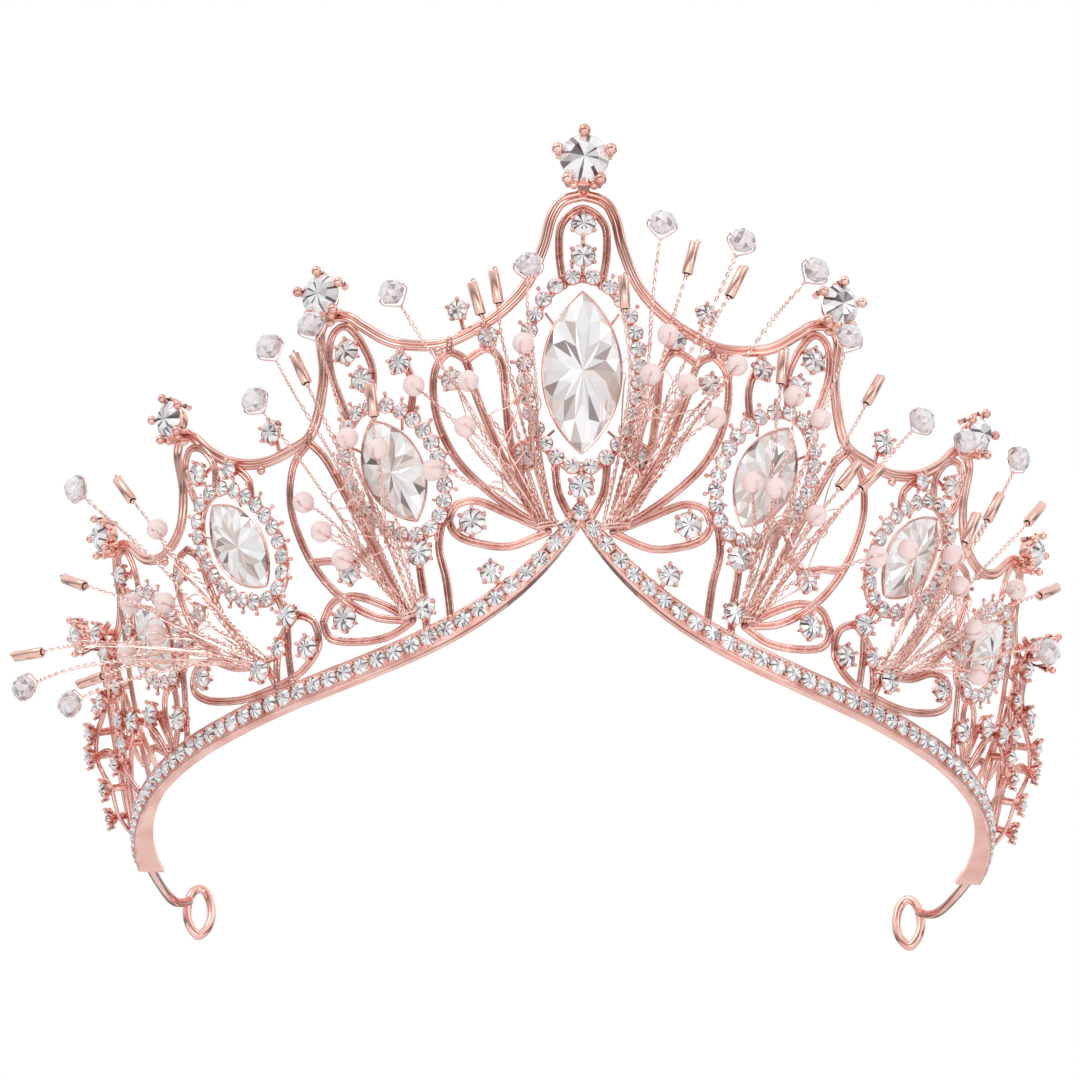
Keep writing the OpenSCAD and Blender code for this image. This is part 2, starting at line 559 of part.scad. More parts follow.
// The parts are drawn round the centre of the head circle, then set down with the origin under
// the middle of the whole crown
module set_down() {
    translate([set_x, set_y, 0])
        children();
}

set_down() base_band();
set_down() band_stones();
set_down() top_rim();
set_down() end_loop(-1);  // end_loop_left
set_down() end_loop(1);  // end_loop_right
set_down() panel_frame(0, 1, CENTRE_WIRES);  // centre_panel_frame
set_down() panel_frame(1, -1, PANEL_2_WIRES);  // panel_2_left_frame
set_down() panel_frame(1, 1, PANEL_2_WIRES);  // panel_2_right_frame
set_down() panel_frame(2, -1, PANEL_3_WIRES);  // panel_3_left_frame
set_down() panel_frame(2, 1, PANEL_3_WIRES);  // panel_3_right_frame
set_down() panel_frame(3, -1, PANEL_4_WIRES, PANEL_4_DOTS);  // panel_4_left_frame
set_down() panel_frame(3, 1, PANEL_4_WIRES, PANEL_4_DOTS);  // panel_4_right_frame
set_down() leaf_frame(LEAF_A, -1);  // leaf_a_left
set_down() leaf_frame(LEAF_A, 1);  // leaf_a_right
set_down() leaf_frame(LEAF_B, -1);  // leaf_b_left
set_down() leaf_frame(LEAF_B, 1);  // leaf_b_right
set_down() leaf_frame(LEAF_C, -1);  // leaf_c_left
set_down() leaf_frame(LEAF_C, 1);  // leaf_c_right
set_down() leaf_frame(TAIL_WIRES, -1);  // tail_left
set_down() leaf_frame(TAIL_WIRES, 1);  // tail_right
set_down() peak_setting(0, 1);  // peak_1_setting
set_down() peak_setting(1, -1);  // peak_2_left_setting
set_down() peak_setting(1, 1);  // peak_2_right_setting
set_down() peak_setting(2, -1);  // peak_3_left_setting
set_down() peak_setting(2, 1);  // peak_3_right_setting
set_down() peak_pair(3);  // peak_4_settings
set_down() peak_pair(4);  // peak_5_settings
set_down() peak_stones();
set_down() panel_marquise(0, 1);  // centre_marquise
set_down() panel_marquise(1, -1);  // marquise_2_left
set_down() panel_marquise(1, 1);  // marquise_2_right
set_down() marquise_pair(2);  // marquise_3_pair
set_down() marquise_pair(3);  // marquise_4_pair
set_down() halo_stones();
set_down() accent_cups();
set_down() accent_stones();
set_down() spray(0);  // spray_a_left
set_down() spray(1);  // spray_a_right
set_down() spray(2);  // spray_b_left
set_down() spray(3);  // spray_b_right
set_down() spray(4);  // spray_c_left
set_down() spray(5);  // spray_c_right
set_down() pink_beads();
set_down() bugle_tubes();
set_down() crystal(0);  // crystal_1
set_down() crystal(1);  // crystal_2
set_down() crystal(2);  // crystal_3
set_down() crystal(3);  // crystal_4
set_down() crystal(4);  // crystal_5
set_down() crystal(5);  // crystal_6
set_down() crystal(6);  // crystal_7
set_down() crystal(7);  // crystal_8
set_down() crystal(8);  // crystal_9
set_down() crystal(9);  // crystal_10
set_down() crystal(10);  // crystal_11
set_down() crystal(11);  // crystal_12
set_down() crystal(12);  // crystal_13
set_down() crystal(13);  // crystal_14
set_down() crystal(14);  // crystal_15
set_down() crystal(15);  // crystal_16
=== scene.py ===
"""Looks for the bridal tiara: wires, settings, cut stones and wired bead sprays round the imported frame."""

import math
import random

import bpy
import numpy as np
from mathutils import Matrix, Vector


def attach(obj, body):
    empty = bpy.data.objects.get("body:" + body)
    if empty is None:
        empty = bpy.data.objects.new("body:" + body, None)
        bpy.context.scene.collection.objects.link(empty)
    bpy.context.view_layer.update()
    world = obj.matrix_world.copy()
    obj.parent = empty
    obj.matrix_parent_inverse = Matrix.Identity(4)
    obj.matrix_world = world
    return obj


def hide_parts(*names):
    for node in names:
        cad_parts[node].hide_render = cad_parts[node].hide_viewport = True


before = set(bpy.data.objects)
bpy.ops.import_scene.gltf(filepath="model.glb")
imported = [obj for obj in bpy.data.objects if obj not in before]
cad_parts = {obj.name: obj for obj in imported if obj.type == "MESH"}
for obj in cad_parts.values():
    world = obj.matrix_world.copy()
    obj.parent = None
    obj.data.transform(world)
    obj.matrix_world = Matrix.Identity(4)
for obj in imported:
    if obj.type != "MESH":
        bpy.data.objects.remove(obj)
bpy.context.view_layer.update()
rng = random.Random(11)

# ---- The crown's own measures, in millimetres ----
# They are as in part.scad, except that the row stones are a little larger and lower here, and the
# bugles a little larger.
MM = 0.001
SET_DOWN = (3.0, 28.6, 0.0)  # from the centre of the head circle to the frame's origin
BAND_R = 70.0
FLARE = math.radians(14)
BAND_T = 1.2
POINT_RISE, POINT_FADE, POINT_CUT = 22.5, 15.0, 0.4
ROW_R, ROW_PITCH, ROW_LIFT = 1.34, 2.9, 1.9
HALO_R, HALO_OUT = 1.15, 1.2
DROP_OUT = 0.8
CRYSTAL_R, BEAD_R, BUGLE_LEN, BUGLE_R = 2.0, 1.7, 5.2, 0.88
FORK_GAP, STEM_GAP, FAN = 0.4, 0.6, 0.6
STEM_OUT, STEM_POINTS, CAD_STEM_POINTS = 1.4, 40, 6
END_ANGLE = math.radians(96)

PEAKS = [[0, 78.8, 3.8, 3], [33.8, 61.6, 3.2, 3], [60.6, 51.4, 2.9, 3], [82, 42.2, 2.6, 3],
    [98, 33.2, 2.4, 4.4]]
PANELS = [[0, 46, 5.2, 12.6, 0], [26.2, 32.8, 4.2, 8.8, 20], [52.7, 28, 4.2, 8.8, 28],
    [75.5, 22, 3.8, 7.5, 32]]
HALO_GAP = [2.4, 2.3, 2.1, 1.9]
HALO_COUNT = [28, 24, 22, 18]
RIM = [[0, 74.2], [2.6, 73.2], [4, 70.5], [5, 66], [7, 60.5], [10, 56.5], [14, 53.5], [19, 51.7],
    [25, 53], [29, 56.3], [31, 58.3], [33.5, 59], [35.3, 57], [35.5, 50], [38, 42],
    [42, 40], [47, 39.6], [52, 41.5], [56, 45], [58.5, 48.3], [60.6, 49.2],
    [62.2, 47], [62.3, 41], [64.4, 35.6], [69, 33.2], [74, 34.8], [78, 39], [80.3, 40.3],
    [82.5, 40], [83.8, 37], [84.3, 33], [86.5, 29.8], [90, 28.6], [93.5, 29.5], [96.5, 30.6],
    [99, 29.8], [101, 26], [105, 17.6], [110, 11], [116, 3.4]]
ACCENTS = [[7.6, 32.8, 1.8, 1.6], [12.2, 51.6, 1.5, 1.6], [16, 56.2, 1.5, 1.6],
    [17.2, 45.3, 1.6, 1.6], [24.2, 49, 1.6, 1.6], [15.2, 23, 2, 1.6], [12.8, 15, 1.6, 1.6],
    [31.4, 52.4, 1.9, 1.6], [29.6, 47.6, 1.7, 1.6], [23.1, 19.1, 1.9, 1.6], [23, 10.6, 1.7, 1.6],
    [34, 18, 1.7, 1.6], [35.5, 11.2, 1.9, 1.6], [42.4, 8.4, 1.7, 1.6], [44, 43.2, 1.8, 1.6],
    [45.2, 14.2, 1.7, 1.6], [47.6, 9.6, 1.3, 1.6], [51.7, 7.4, 1.8, 1.6], [52, 40, 1.3, 1.6],
    [58, 41.6, 1.7, 1.6], [65.1, 27.8, 1.3, 1.6], [62.4, 20.2, 1.6, 1.6], [65.9, 17.2, 1.1, 1.6],
    [64, 10.4, 1.7, 1.6], [71.4, 6.3, 1.8, 2], [80, 34.6, 1.7, 2], [78, 9.8, 1.8, 2.6],
    [84, 11.2, 1.8, 3], [88.6, 13.4, 1.5, 3.4], [87.6, 8.8, 1.5, 4], [90, 25.6, 1.7, 2.8],
    [90.4, 29.6, 1.7, 3.2], [88.4, 19.4, 1.5, 2.6], [96, 20.4, 1.7, 3.2], [101, 17, 1.6, 5.2],
    [103.8, 14.2, 1.6, 5.6], [96.4, 9.6, 1.6, 3], [102, 7.6, 1.6, 4.6], [101.4, 22, 1.4, 3],
    [108, 5.4, 1.5, 4]]
MIDDLE_ACCENTS = [[0, 69, 1.8, 1.6], [0, 64, 1.8, 1.6], [0, 27.8, 1.8, 1.6]]
ARMS = [[[16, 56.2], [15.4, 53]], [[17.2, 45.3], [14.6, 46]], [[15.2, 23], [16, 20.6]],
    [[12.8, 15], [11.4, 12.7]], [[44, 43.2], [43.6, 39.9]], [[58, 41.6], [55.4, 42.4]],
    [[62.4, 20.2], [64.9, 19.2]], [[80, 34.6], [77.6, 35.4]]]
MIDDLE_ARMS = [[[0, 71.6], [0, 61.4]]]
LEAF_A = [
    [[4.6, 21.4], [9, 24.5], [13.4, 28.5], [17, 33], [19.3, 38.5], [20, 44], [19.4, 48.2],
        [17.5, 50.3]],
    [[17.5, 50.3], [15.4, 48.6], [14.4, 44], [12.6, 38], [10.4, 32], [7.6, 26.6], [4.6, 21.4]],
    [[15.4, 48.6], [12.4, 50.2], [10.6, 47.6], [10.2, 42], [9.6, 35], [7.6, 28], [4.6, 21.4]],
    [[4.6, 21.4], [10, 24.2], [14.6, 26.6], [17.6, 26.2], [18.8, 24]],
    [[18.8, 24], [17.8, 21.8], [15, 20.2], [10, 19.3], [4.6, 21.4]],
    [[17.5, 50.3], [17.4, 52]], [[12.4, 50.2], [12.8, 54]]]
LEAF_B = [
    [[38.6, 40.2], [41.4, 37.6], [42.7, 33], [42.4, 28], [40.4, 21.6], [36.6, 15.6], [31, 11],
        [25, 9.4]],
    [[38.6, 40.2], [36.4, 37], [34, 31], [31.4, 24.4], [28.4, 17], [25, 9.4]],
    [[25, 9.4], [29.6, 12.6], [34, 14.8], [37.6, 14.6], [39.6, 12]],
    [[39.6, 12], [38.6, 9.2], [34, 7.7], [29, 7.6], [25, 9.4]],
    [[40.4, 21.6], [37, 21], [33.6, 19.8], [30.8, 21.6]], [[38.6, 40.2], [38.2, 42]]]
LEAF_C = [
    [[51, 8.4], [54.6, 12.4], [58, 18], [60, 24.4], [61, 29], [63.4, 31.6]],
    [[63.4, 31.6], [66.2, 30.6], [67, 26.6], [65.6, 20.6], [62.4, 15], [57.6, 10.8], [51, 8.4]],
    [[51, 8.4], [57, 9.8], [62, 12.6], [66.2, 12.6], [67.6, 10], [65, 7.4], [60, 5.4],
        [55, 4.4], [49.4, 4.4]],
    [[51, 8.4], [50.2, 6.4], [49.4, 4.4]],
    [[49.4, 4.4], [44.6, 5.4], [41, 8.4], [41.2, 12.4], [44, 14.4]],
    [[49.4, 4.4], [48.8, 8], [47.4, 11.6], [44, 14.4]]]
PANEL_2_WIRES = [
    [[19.6, 24.6], [20.4, 20], [19.6, 15], [19.2, 9]], [[22.4, 22.6], [23.4, 18], [23, 12], [23, 8]],
    [[28.9, 43.6], [28.2, 49], [29.6, 54], [31.6, 57], [33.8, 55.4], [34.2, 50], [32.2, 41.8]],
    [[23.4, 41.2], [22.8, 46], [24.2, 51.4]]]
PANEL_3_WIRES = [
    [[55.8, 38.2], [55.2, 42], [57, 45.6], [59.6, 46.4], [61, 43], [59.4, 36.4]],
    [[49.4, 34.6], [49.4, 37.6], [52, 41]], [[47.2, 18.4], [46, 14], [46.4, 9], [46.4, 4.4]]]
PANEL_4_WIRES = [
    [[77.8, 30], [77.4, 34], [79, 38.6], [81.6, 38.8], [82.4, 35], [81, 29.6]],
    [[69.2, 16.2], [70, 11], [71.6, 3.6]],
    [[76, 3.2], [73.4, 7], [72.6, 11.4], [73.6, 13.4]],
    [[73.6, 13.4], [76.2, 11.6], [76.8, 7.4], [76, 3.2]],
    [[76, 3.2], [78, 8], [79.8, 12.4], [82, 12.8]], [[82, 12.8], [82.4, 9], [79.6, 5.6], [76, 3.2]]]
TAIL_WIRES = [
    [[84.2, 32], [85.4, 25], [86.8, 18], [86.4, 11], [83, 3.2]],
    [[90, 28.6], [91, 24], [90, 18], [88, 11], [87, 3.2]],
    [[79, 4], [83, 6.6], [87, 5.6], [90, 8], [92, 11], [96, 8], [98, 3.2]],
    [[98, 30], [96.6, 25], [95.6, 19], [97.6, 12], [103, 3.2]],
    [[86, 14], [90, 16], [95, 17], [101, 15], [105, 10], [108, 3.4]],
    [[88, 24], [93, 25], [98, 24], [101.6, 20]]]
CENTRE_WIRES = [
    [[-2.4, 59.6], [-3, 65], [-2.6, 69.6], [0, 72], [2.6, 69.6], [3, 65], [2.4, 59.6]],
    [[-3.6, 32.4], [-3.2, 27.6], [-1.6, 23.8]], [[3.6, 32.4], [3.2, 27.6], [1.6, 23.8]],
    [[0, 31], [0, 25]], [[-5.9, 36.2], [-9.4, 34], [-8.4, 31.2], [-6.2, 32]],
    [[5.9, 36.2], [9.4, 34], [8.4, 31.2], [6.2, 32]]]
CRYSTAL = 0
BEAD = 1
BUGLE = 2
SPRAY_A_LEFT = [[-23.5, 58, 6, CRYSTAL], [-6.6, 60.4, 6, CRYSTAL], [-13, 55.4, 6, BUGLE],
    [-10.6, 57, 6, BUGLE], [-7.4, 48, 6, BEAD], [-15, 35.6, 6, BEAD], [-14.4, 42.6, 6, BEAD],
    [-19.6, 29.4, 6, BEAD], [-21.6, 43.4, 5, BEAD]]
SPRAY_A_RIGHT = [[9.2, 67.6, 6, CRYSTAL], [19, 66.4, 6, CRYSTAL], [28.4, 63.6, 7, CRYSTAL],
    [12.8, 62.4, 6, BUGLE], [18.6, 59.6, 6, BUGLE], [4.8, 55.6, 7, BUGLE], [10.4, 50, 6, BEAD],
    [8.4, 43.6, 6, BEAD], [13.2, 42.6, 6, BEAD], [17, 38, 6, BEAD], [19.4, 46.6, 6, BEAD]]
SPRAY_B_LEFT = [[-40.5, 54, 6, CRYSTAL], [-43.6, 46.4, 6, CRYSTAL], [-33.6, 54.4, 8, CRYSTAL],
    [-36.4, 49, 6, BUGLE], [-27, 41.6, 6, BUGLE], [-26.4, 33.4, 7, BEAD], [-38.4, 28.8, 5, BEAD],
    [-36.2, 23.6, 5, BEAD], [-33.4, 18.6, 5, BEAD], [-30.4, 36, 7, BEAD]]
SPRAY_B_RIGHT = [[33.4, 54, 8, CRYSTAL], [47, 46.4, 6, CRYSTAL], [38.6, 48, 6, BUGLE],
    [25.4, 47.6, 6, BUGLE], [31.4, 41, 6, BEAD], [27.4, 43.6, 6, BEAD], [22.2, 28.4, 7, BEAD],
    [25.6, 28.2, 7, BEAD], [32.2, 26, 6, BEAD], [36.4, 33.6, 6, BUGLE], [40, 34.4, 6, BUGLE],
    [42.6, 22.6, 6, BEAD]]
SPRAY_C_LEFT = [[-78, 47.2, 8.2, CRYSTAL], [-69, 42.6, 6, BUGLE], [-63.6, 33.4, 6, BEAD],
    [-80, 31.5, 10.5, BUGLE], [-72.6, 25, 6, BEAD], [-64.6, 21.6, 6, BEAD],
    [-67.6, 17.6, 6, BEAD], [-76, 18.2, 6, BEAD], [-78, 15.4, 22.6, BUGLE],
    [-80, 10.8, 23.2, CRYSTAL], [-80, 9.6, 15.6, CRYSTAL], [-80, 14.6, 11, BUGLE]]
SPRAY_C_RIGHT = [[64.4, 47.6, 8, CRYSTAL], [53.4, 45, 8, CRYSTAL], [82, 23.8, 8.6, CRYSTAL],
    [62, 38.4, 7, BUGLE], [74, 44, 5.6, BUGLE], [80, 33.4, 7.4, BUGLE], [58, 33, 7, BUGLE],
    [55.4, 27.4, 7, BEAD], [58.6, 24, 6, BEAD], [72.4, 30, 6, BEAD], [63.6, 19, 6, BEAD],
    [66.6, 12.8, 6, BEAD], [47, 25, 7, BEAD]]
SPRAYS = [SPRAY_A_LEFT, SPRAY_A_RIGHT, SPRAY_B_LEFT, SPRAY_B_RIGHT, SPRAY_C_LEFT, SPRAY_C_RIGHT]
ROOTS = [[-4.8, 21.6], [4.8, 21.6], [-24.6, 9.6], [24.6, 9.6], [-51, 8], [51, 8]]
LEANS = [[-5, 13], [5, 13], [-5, 12], [5, 12], [-9, 9], [9, 9]]
SPRAY_NAMES = ["a_left", "a_right", "b_left", "b_right", "c_left", "c_right"]
EYE, EYE_W, EYE_H, LOOP_D = [61.6, 36.4, 5.5], 2.2, 4.4, 1.8

# ---- Where an arc position, height and outward offset lie in space ----


def unit(v):
    v = np.asarray(v, float)
    return v / np.maximum(np.linalg.norm(v, axis=-1, keepdims=True), 1e-12)


def reach(h, w):
    return BAND_R + h * math.tan(FLARE) + w


def place(p, w=0.0):
    a, r = p[0] / BAND_R, reach(p[1], w)
    return np.array([r * math.sin(a), -r * math.cos(a), p[1]])


def axes(u):
    """Along the crown, up its leaning surface, and straight out of it."""
    a = u / BAND_R
    s, c = math.sin(FLARE), math.cos(FLARE)
    return (
        np.array([math.cos(a), math.sin(a), 0.0]),
        np.array([s * math.sin(a), -s * math.cos(a), c]),
        np.array([c * math.sin(a), -c * math.cos(a), -s]),
    )


def seat(u, h, w, tilt=0.0):
    """Centre and three axes of a stone on the crown, turned by tilt degrees about its own outward axis."""
    along, up, out = axes(u)
    c, s = math.cos(math.radians(tilt)), math.sin(math.radians(tilt))
    return place((u, h), w), c * along + s * up, c * up - s * along, out


def flip(run, side):
    return [(side * p[0], p[1]) for p in run]


def smooth(p, n=6):
    """The same curve through the points as the CAD has, with finer steps."""
    p = np.asarray(p, float)
    out = []
    for i in range(len(p) - 1):
        a, b, c, d = p[max(i - 1, 0)], p[i], p[i + 1], p[min(i + 2, len(p) - 1)]
        for k in range(n):
            t = k / n
            square = (2 * a - 5 * b + 4 * c - d) * t * t
            cube = (3 * b - a - 3 * c + d) * t**3
            out.append(0.5 * (2 * b + (c - a) * t + square + cube))
    out.append(p[-1])
    return np.array(out)


def band_low(u):
    """Height of the band's lower edge, which rises to a point at the front."""
    return max(0.0, (POINT_RISE + POINT_CUT) * math.exp(-abs(u) / POINT_FADE) - POINT_CUT)


def halo_point(i, t):
    """Arc position and height of a halo's point at t degrees round the drop stone."""
    u, h, half_w, half_l, tilt = PANELS[i]
    g, a, b = HALO_GAP[i], math.radians(t), math.radians(tilt)
    x, y = (half_w + g) * math.cos(a), (half_l + g) * math.sin(a)
    return np.array([u + x * math.cos(b) + y * math.sin(b), h - x * math.sin(b) + y * math.cos(b)])


def halo_turns(i):
    """The angles that put a halo's stones at even distances."""
    marks = np.arange(90, 451, 3)
    run = [0.0]
    for t in marks[1:]:
        run.append(run[-1] + float(np.linalg.norm(halo_point(i, t) - halo_point(i, t - 3))))
    n = HALO_COUNT[i]
    return np.interp([(k + 0.5) * run[-1] / n for k in range(n)], run, marks)


def stem_points(i, t, n=STEM_POINTS, gather=1.0):
    """A spray stem as the CAD bends it, from its root to its piece. gather draws the roots together."""
    rank = sum(1 for q in SPRAYS[i] if q[0] + q[1] / 90 < t[0] + t[1] / 90)
    root = (ROOTS[i][0] + STEM_GAP * (rank - (len(SPRAYS[i]) - 1) / 2) * gather, ROOTS[i][1])
    mid = [ROOTS[i][k] + LEANS[i][k] * (1 - FAN) + (t[k] - ROOTS[i][k]) * FAN * 0.5 for k in (0, 1)]
    a, b, c = place(root, STEM_OUT), place(mid, t[2] * 0.6), place(t, t[2])
    k = np.linspace(0, 1, n)[:, None]
    return (1 - k) ** 2 * a + 2 * k * (1 - k) * b + k * k * c


def tip_dir(i, t):
    """The direction of the CAD stem's last step."""
    p = stem_points(i, t, CAD_STEM_POINTS)
    return unit(p[-1] - p[-2])


# ---- Meshes ----
OUTWARD_DIP = 20.0  # how far a wire's outward direction falls over the crown's radius, as in the CAD


class Shape:
    """Collects vertices, faces and a tone for each face, then becomes one Blender object."""

    def __init__(self):
        self.parts, self.faces, self.tones, self.count = [], [], [], 0

    def add(self, verts, faces, tones=None):
        self.parts.append(np.asarray(verts, float))
        self.faces += [tuple(int(i) + self.count for i in f) for f in faces]
        self.tones += list(tones) if tones is not None else [0.5] * len(faces)
        self.count += len(verts)

    def make(self, name, material, nodes=(), body="tiara", *, slot, smooth_angle=50):
        mesh = bpy.data.meshes.new(name)
        mesh.from_pydata(((np.vstack(self.parts) + SET_DOWN) * MM).tolist(), [], self.faces)
        tone = mesh.attributes.new("tone", "FLOAT", "FACE")
        tone.data.foreach_set("value", np.array(self.tones, np.float32))
        if smooth_angle:
            mesh.shade_smooth()
            mesh.set_sharp_from_angle(angle=math.radians(smooth_angle))
        mesh.materials.append(material)
        obj = bpy.data.objects.new(name, mesh)
        bpy.context.scene.collection.objects.link(obj)
        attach(obj, body)
        if nodes:
            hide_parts(*nodes)


def tube(s, pts, r, sides=8, closed=False, shift=(0.0, 0.0)):
    """Round wire along points. shift moves it sideways in the surface and outward."""
    pts = np.asarray(pts, float)
    n = len(pts)
    if closed:
        t = unit(np.roll(pts, -1, 0) - np.roll(pts, 1, 0))
    else:
        t = unit(np.vstack([pts[1] - pts[0], pts[2:] - pts[:-2], pts[-1] - pts[-2]]))
    outward = unit(pts * [1, 1, 0] + [0, 0, -OUTWARD_DIP])
    a = unit(outward - (outward * t).sum(1, keepdims=True) * t)
    b = np.cross(t, a)
    mid = pts + shift[0] * b + shift[1] * a
    r = np.broadcast_to(np.asarray(r, float), (n,))[:, None, None]
    ang = np.arange(sides) * 2 * math.pi / sides
    share_a, share_b = np.cos(ang)[None, :, None], np.sin(ang)[None, :, None]
    ring = mid[:, None, :] + r * (share_a * a[:, None, :] + share_b * b[:, None, :])
    faces = []
    for i in range(n if closed else n - 1):
        j = (i + 1) % n
        for k in range(sides):
            m = (k + 1) % sides
            faces.append((i * sides + k, i * sides + m, j * sides + m, j * sides + k))
    if not closed:
        faces.append(tuple(range(sides - 1, -1, -1)))
        faces.append(tuple((n - 1) * sides + k for k in range(sides)))
    s.add(ring.reshape(-1, 3), faces)


def rails(s, pts, r, gap, groove=0.6, sides=8):
    """Two round rails side by side with a lower one between them, as the cast wires have."""
    for side in (-1, 1):
        tube(s, pts, r, sides, shift=(side * gap, 0.0))
    tube(s, pts, r * groove, 6, shift=(0.0, -r * 0.25))


def ball(s, c, r, sides=10, rows=6, squash=1.0, axis=None):
    c = np.asarray(c, float)
    if axis is None:
        x, y, z = np.eye(3)
    else:
        z = unit(axis)
        x = unit(np.cross(z, [0.3, 0.2, 1.0]))
        y = np.cross(z, x)
    verts = [c + r * squash * z]
    for i in range(1, rows):
        p = math.pi * i / rows
        for k in range(sides):
            q = 2 * math.pi * k / sides
            level = math.sin(p) * (math.cos(q) * x + math.sin(q) * y)
            verts.append(c + r * (level + squash * math.cos(p) * z))
    verts.append(c - r * squash * z)
    faces = [(0, 1 + k, 1 + (k + 1) % sides) for k in range(sides)]
    for i in range(rows - 2):
        for k in range(sides):
            a, b = 1 + i * sides, 1 + (i + 1) * sides
            faces.append((a + k, b + k, b + (k + 1) % sides, a + (k + 1) % sides))
    end, base = len(verts) - 1, 1 + (rows - 2) * sides
    faces += [(end, base + (k + 1) % sides, base + k) for k in range(sides)]
    s.add(verts, faces)


def lathe(s, at, profile, sides, tone=0.5):
    """Turned form: profile points are radius and height above the seat."""
    c, x, y, z = at
    ang = np.arange(sides) * 2 * math.pi / sides
    verts = [c + r * (math.cos(q) * x + math.sin(q) * y) + h * z for r, h in profile for q in ang]
    faces = []
    for i in range(len(profile) - 1):
        a, b = i * sides, (i + 1) * sides
        for k in range(sides):
            m = (k + 1) % sides
            faces.append((a + k, a + m, b + m, b + k))
    s.add(verts, faces, [tone] * len(faces))


def pick(weights):
    """A tone for one facet, from (tone, share) pairs."""
    x = rng.random() * sum(w for _, w in weights)
    for tone, w in weights:
        x -= w
        if x <= 0:
            return tone
    return weights[-1][0]


# Facet tones for the round cut stones are painted reflections, light glints and dark reflected facets, not
# the glass's own colour.
BRIGHT_REFLECTIONS = [(0.97, 7), (0.82, 2.5), (0.6, 1.6), (0.3, 0.7)]
DARK_REFLECTIONS = [(0.97, 1.2), (0.6, 1.6), (0.3, 2.6), (0.1, 3)]


def brilliant(s, at, r):
    """Round cut stone: broad bright facets with narrow dark ones between, seen as a star of radial lines.
    The facet tones are painted reflections: bright painted glints and dark reflected facets.
    """
    c, x, y, z = at
    spin = rng.random() * math.pi

    def ring(angles, radius, height):
        return [
            c + radius * r * (math.cos(a + spin) * x + math.sin(a + spin) * y) + height * r * z
            for a in angles
        ]

    inner, outer = [], []
    for k in range(8):
        a, d = (k + 0.5) * math.pi / 4, math.radians(rng.uniform(4, 9))
        inner += [a - d, a + d]
        outer += [a - d * 0.6, a + d * 0.6, (k + 1) * math.pi / 4]
    verts = [c + 0.28 * r * z] + ring(inner, 0.58, 0.36) + ring(outer, 1.0, 0.02) + [c - 0.68 * r * z]
    t, g, end = 1, 17, 41
    faces, tones = [], []
    for k in range(8):
        a, b, n = t + 2 * k, t + 2 * k + 1, t + (2 * k + 2) % 16
        p, q, m, o = g + 3 * k, g + 3 * k + 1, g + 3 * k + 2, g + (3 * k + 3) % 24
        faces += [(0, a, b), (0, b, n), (a, p, q, b), (b, q, m), (b, m, n), (n, m, o)]
        tones += [pick(DARK_REFLECTIONS), pick(BRIGHT_REFLECTIONS), pick(DARK_REFLECTIONS), pick(BRIGHT_REFLECTIONS), pick(BRIGHT_REFLECTIONS), pick(BRIGHT_REFLECTIONS)]
        faces += [(p, end, q), (q, end, m), (m, end, o)]
        tones += [0.6, 0.6, 0.6]
    s.add(verts, faces, tones)


def oval(half_w, half_l, n):
    """Outline of two arcs that meet in points, as n points round from the top, evenly along the arcs."""
    big = (half_w**2 + half_l**2) / (2 * half_w)
    top = math.asin(half_l / big)
    pts = []
    for k in range(n):
        f = 2 * k / n
        right = f < 1
        a = top * (1 - 2 * (f if right else f - 1))
        if not right:
            a = -a
        xx = big * math.cos(a) - (big - half_w)
        pts.append((xx if right else -xx, big * math.sin(a)))
    return pts


# Facet tones for the drop stones are painted reflections: the front facets in the glass, the back facets in
# its foil.
GLASS_REFLECTIONS = [(0.97, 6), (0.88, 3), (0.76, 3), (0.56, 2), (0.46, 2), (0.32, 1.1), (0.14, 0.5)]
FOIL_REFLECTIONS = [(0.93, 3), (0.76, 3), (0.55, 2), (0.38, 1)]


def drop_stone(s, at, half_w, half_l):
    """Pointed oval stone: kites round the table, lozenges, slim edge facets and a faceted back. Each facet's
    tone is a painted reflection in the glass or its foil back.
    """
    c, x, y, z = at
    n = 12

    def tier(scale_w, scale_l, height, start, step):
        outline = oval(half_w * scale_w, half_l * scale_l, n * 2)[start::step]
        return [c + px * x + py * y + height * z for px, py in outline]

    top = c + rng.uniform(-0.08, 0.08) * half_w * x + rng.uniform(-0.12, 0.12) * half_l * y + 1.12 * z
    verts = [top] + tier(0.3, 0.42, 1.26, 0, 2) + tier(0.62, 0.7, 1.0, 1, 2)
    verts += tier(0.86, 0.88, 0.55, 0, 2) + tier(1.0, 1.0, 0.0, 0, 1)
    verts += tier(0.6, 0.66, -1.15, 0, 2) + [c - 1.9 * z]
    a, b, d, edge, back, tip = 1, 1 + n, 1 + 2 * n, 1 + 3 * n, 1 + 5 * n, 1 + 6 * n
    faces, tones = [], []
    for k in range(n):
        m = (k + 1) % n
        g, h, j = edge + 2 * k, edge + 2 * k + 1, edge + (2 * k + 2) % (2 * n)
        faces += [(0, a + k, b + k), (0, b + k, a + m), (a + m, b + k, d + m), (a + m, d + m, b + m)]
        faces += [(b + k, d + k, h), (b + k, h, d + m), (d + k, g, h), (d + m, h, j)]
        faces += [(g, back + k, h), (h, back + k, back + m), (h, back + m, j), (back + k, tip, back + m)]
        tones += [pick(GLASS_REFLECTIONS) for _ in range(8)] + [pick(FOIL_REFLECTIONS) for _ in range(4)]
    s.add(verts, [f[::-1] for f in faces], tones)


# ---- Materials ----
CAST_DEPTH, BEAD_DEPTH = 0.00012, 0.00005  # in metres


def nodes_of(name):
    material = bpy.data.materials.new(name)
    material.use_nodes = True
    tree = material.node_tree
    shader = tree.nodes["Principled BSDF"]
    return material, tree, shader


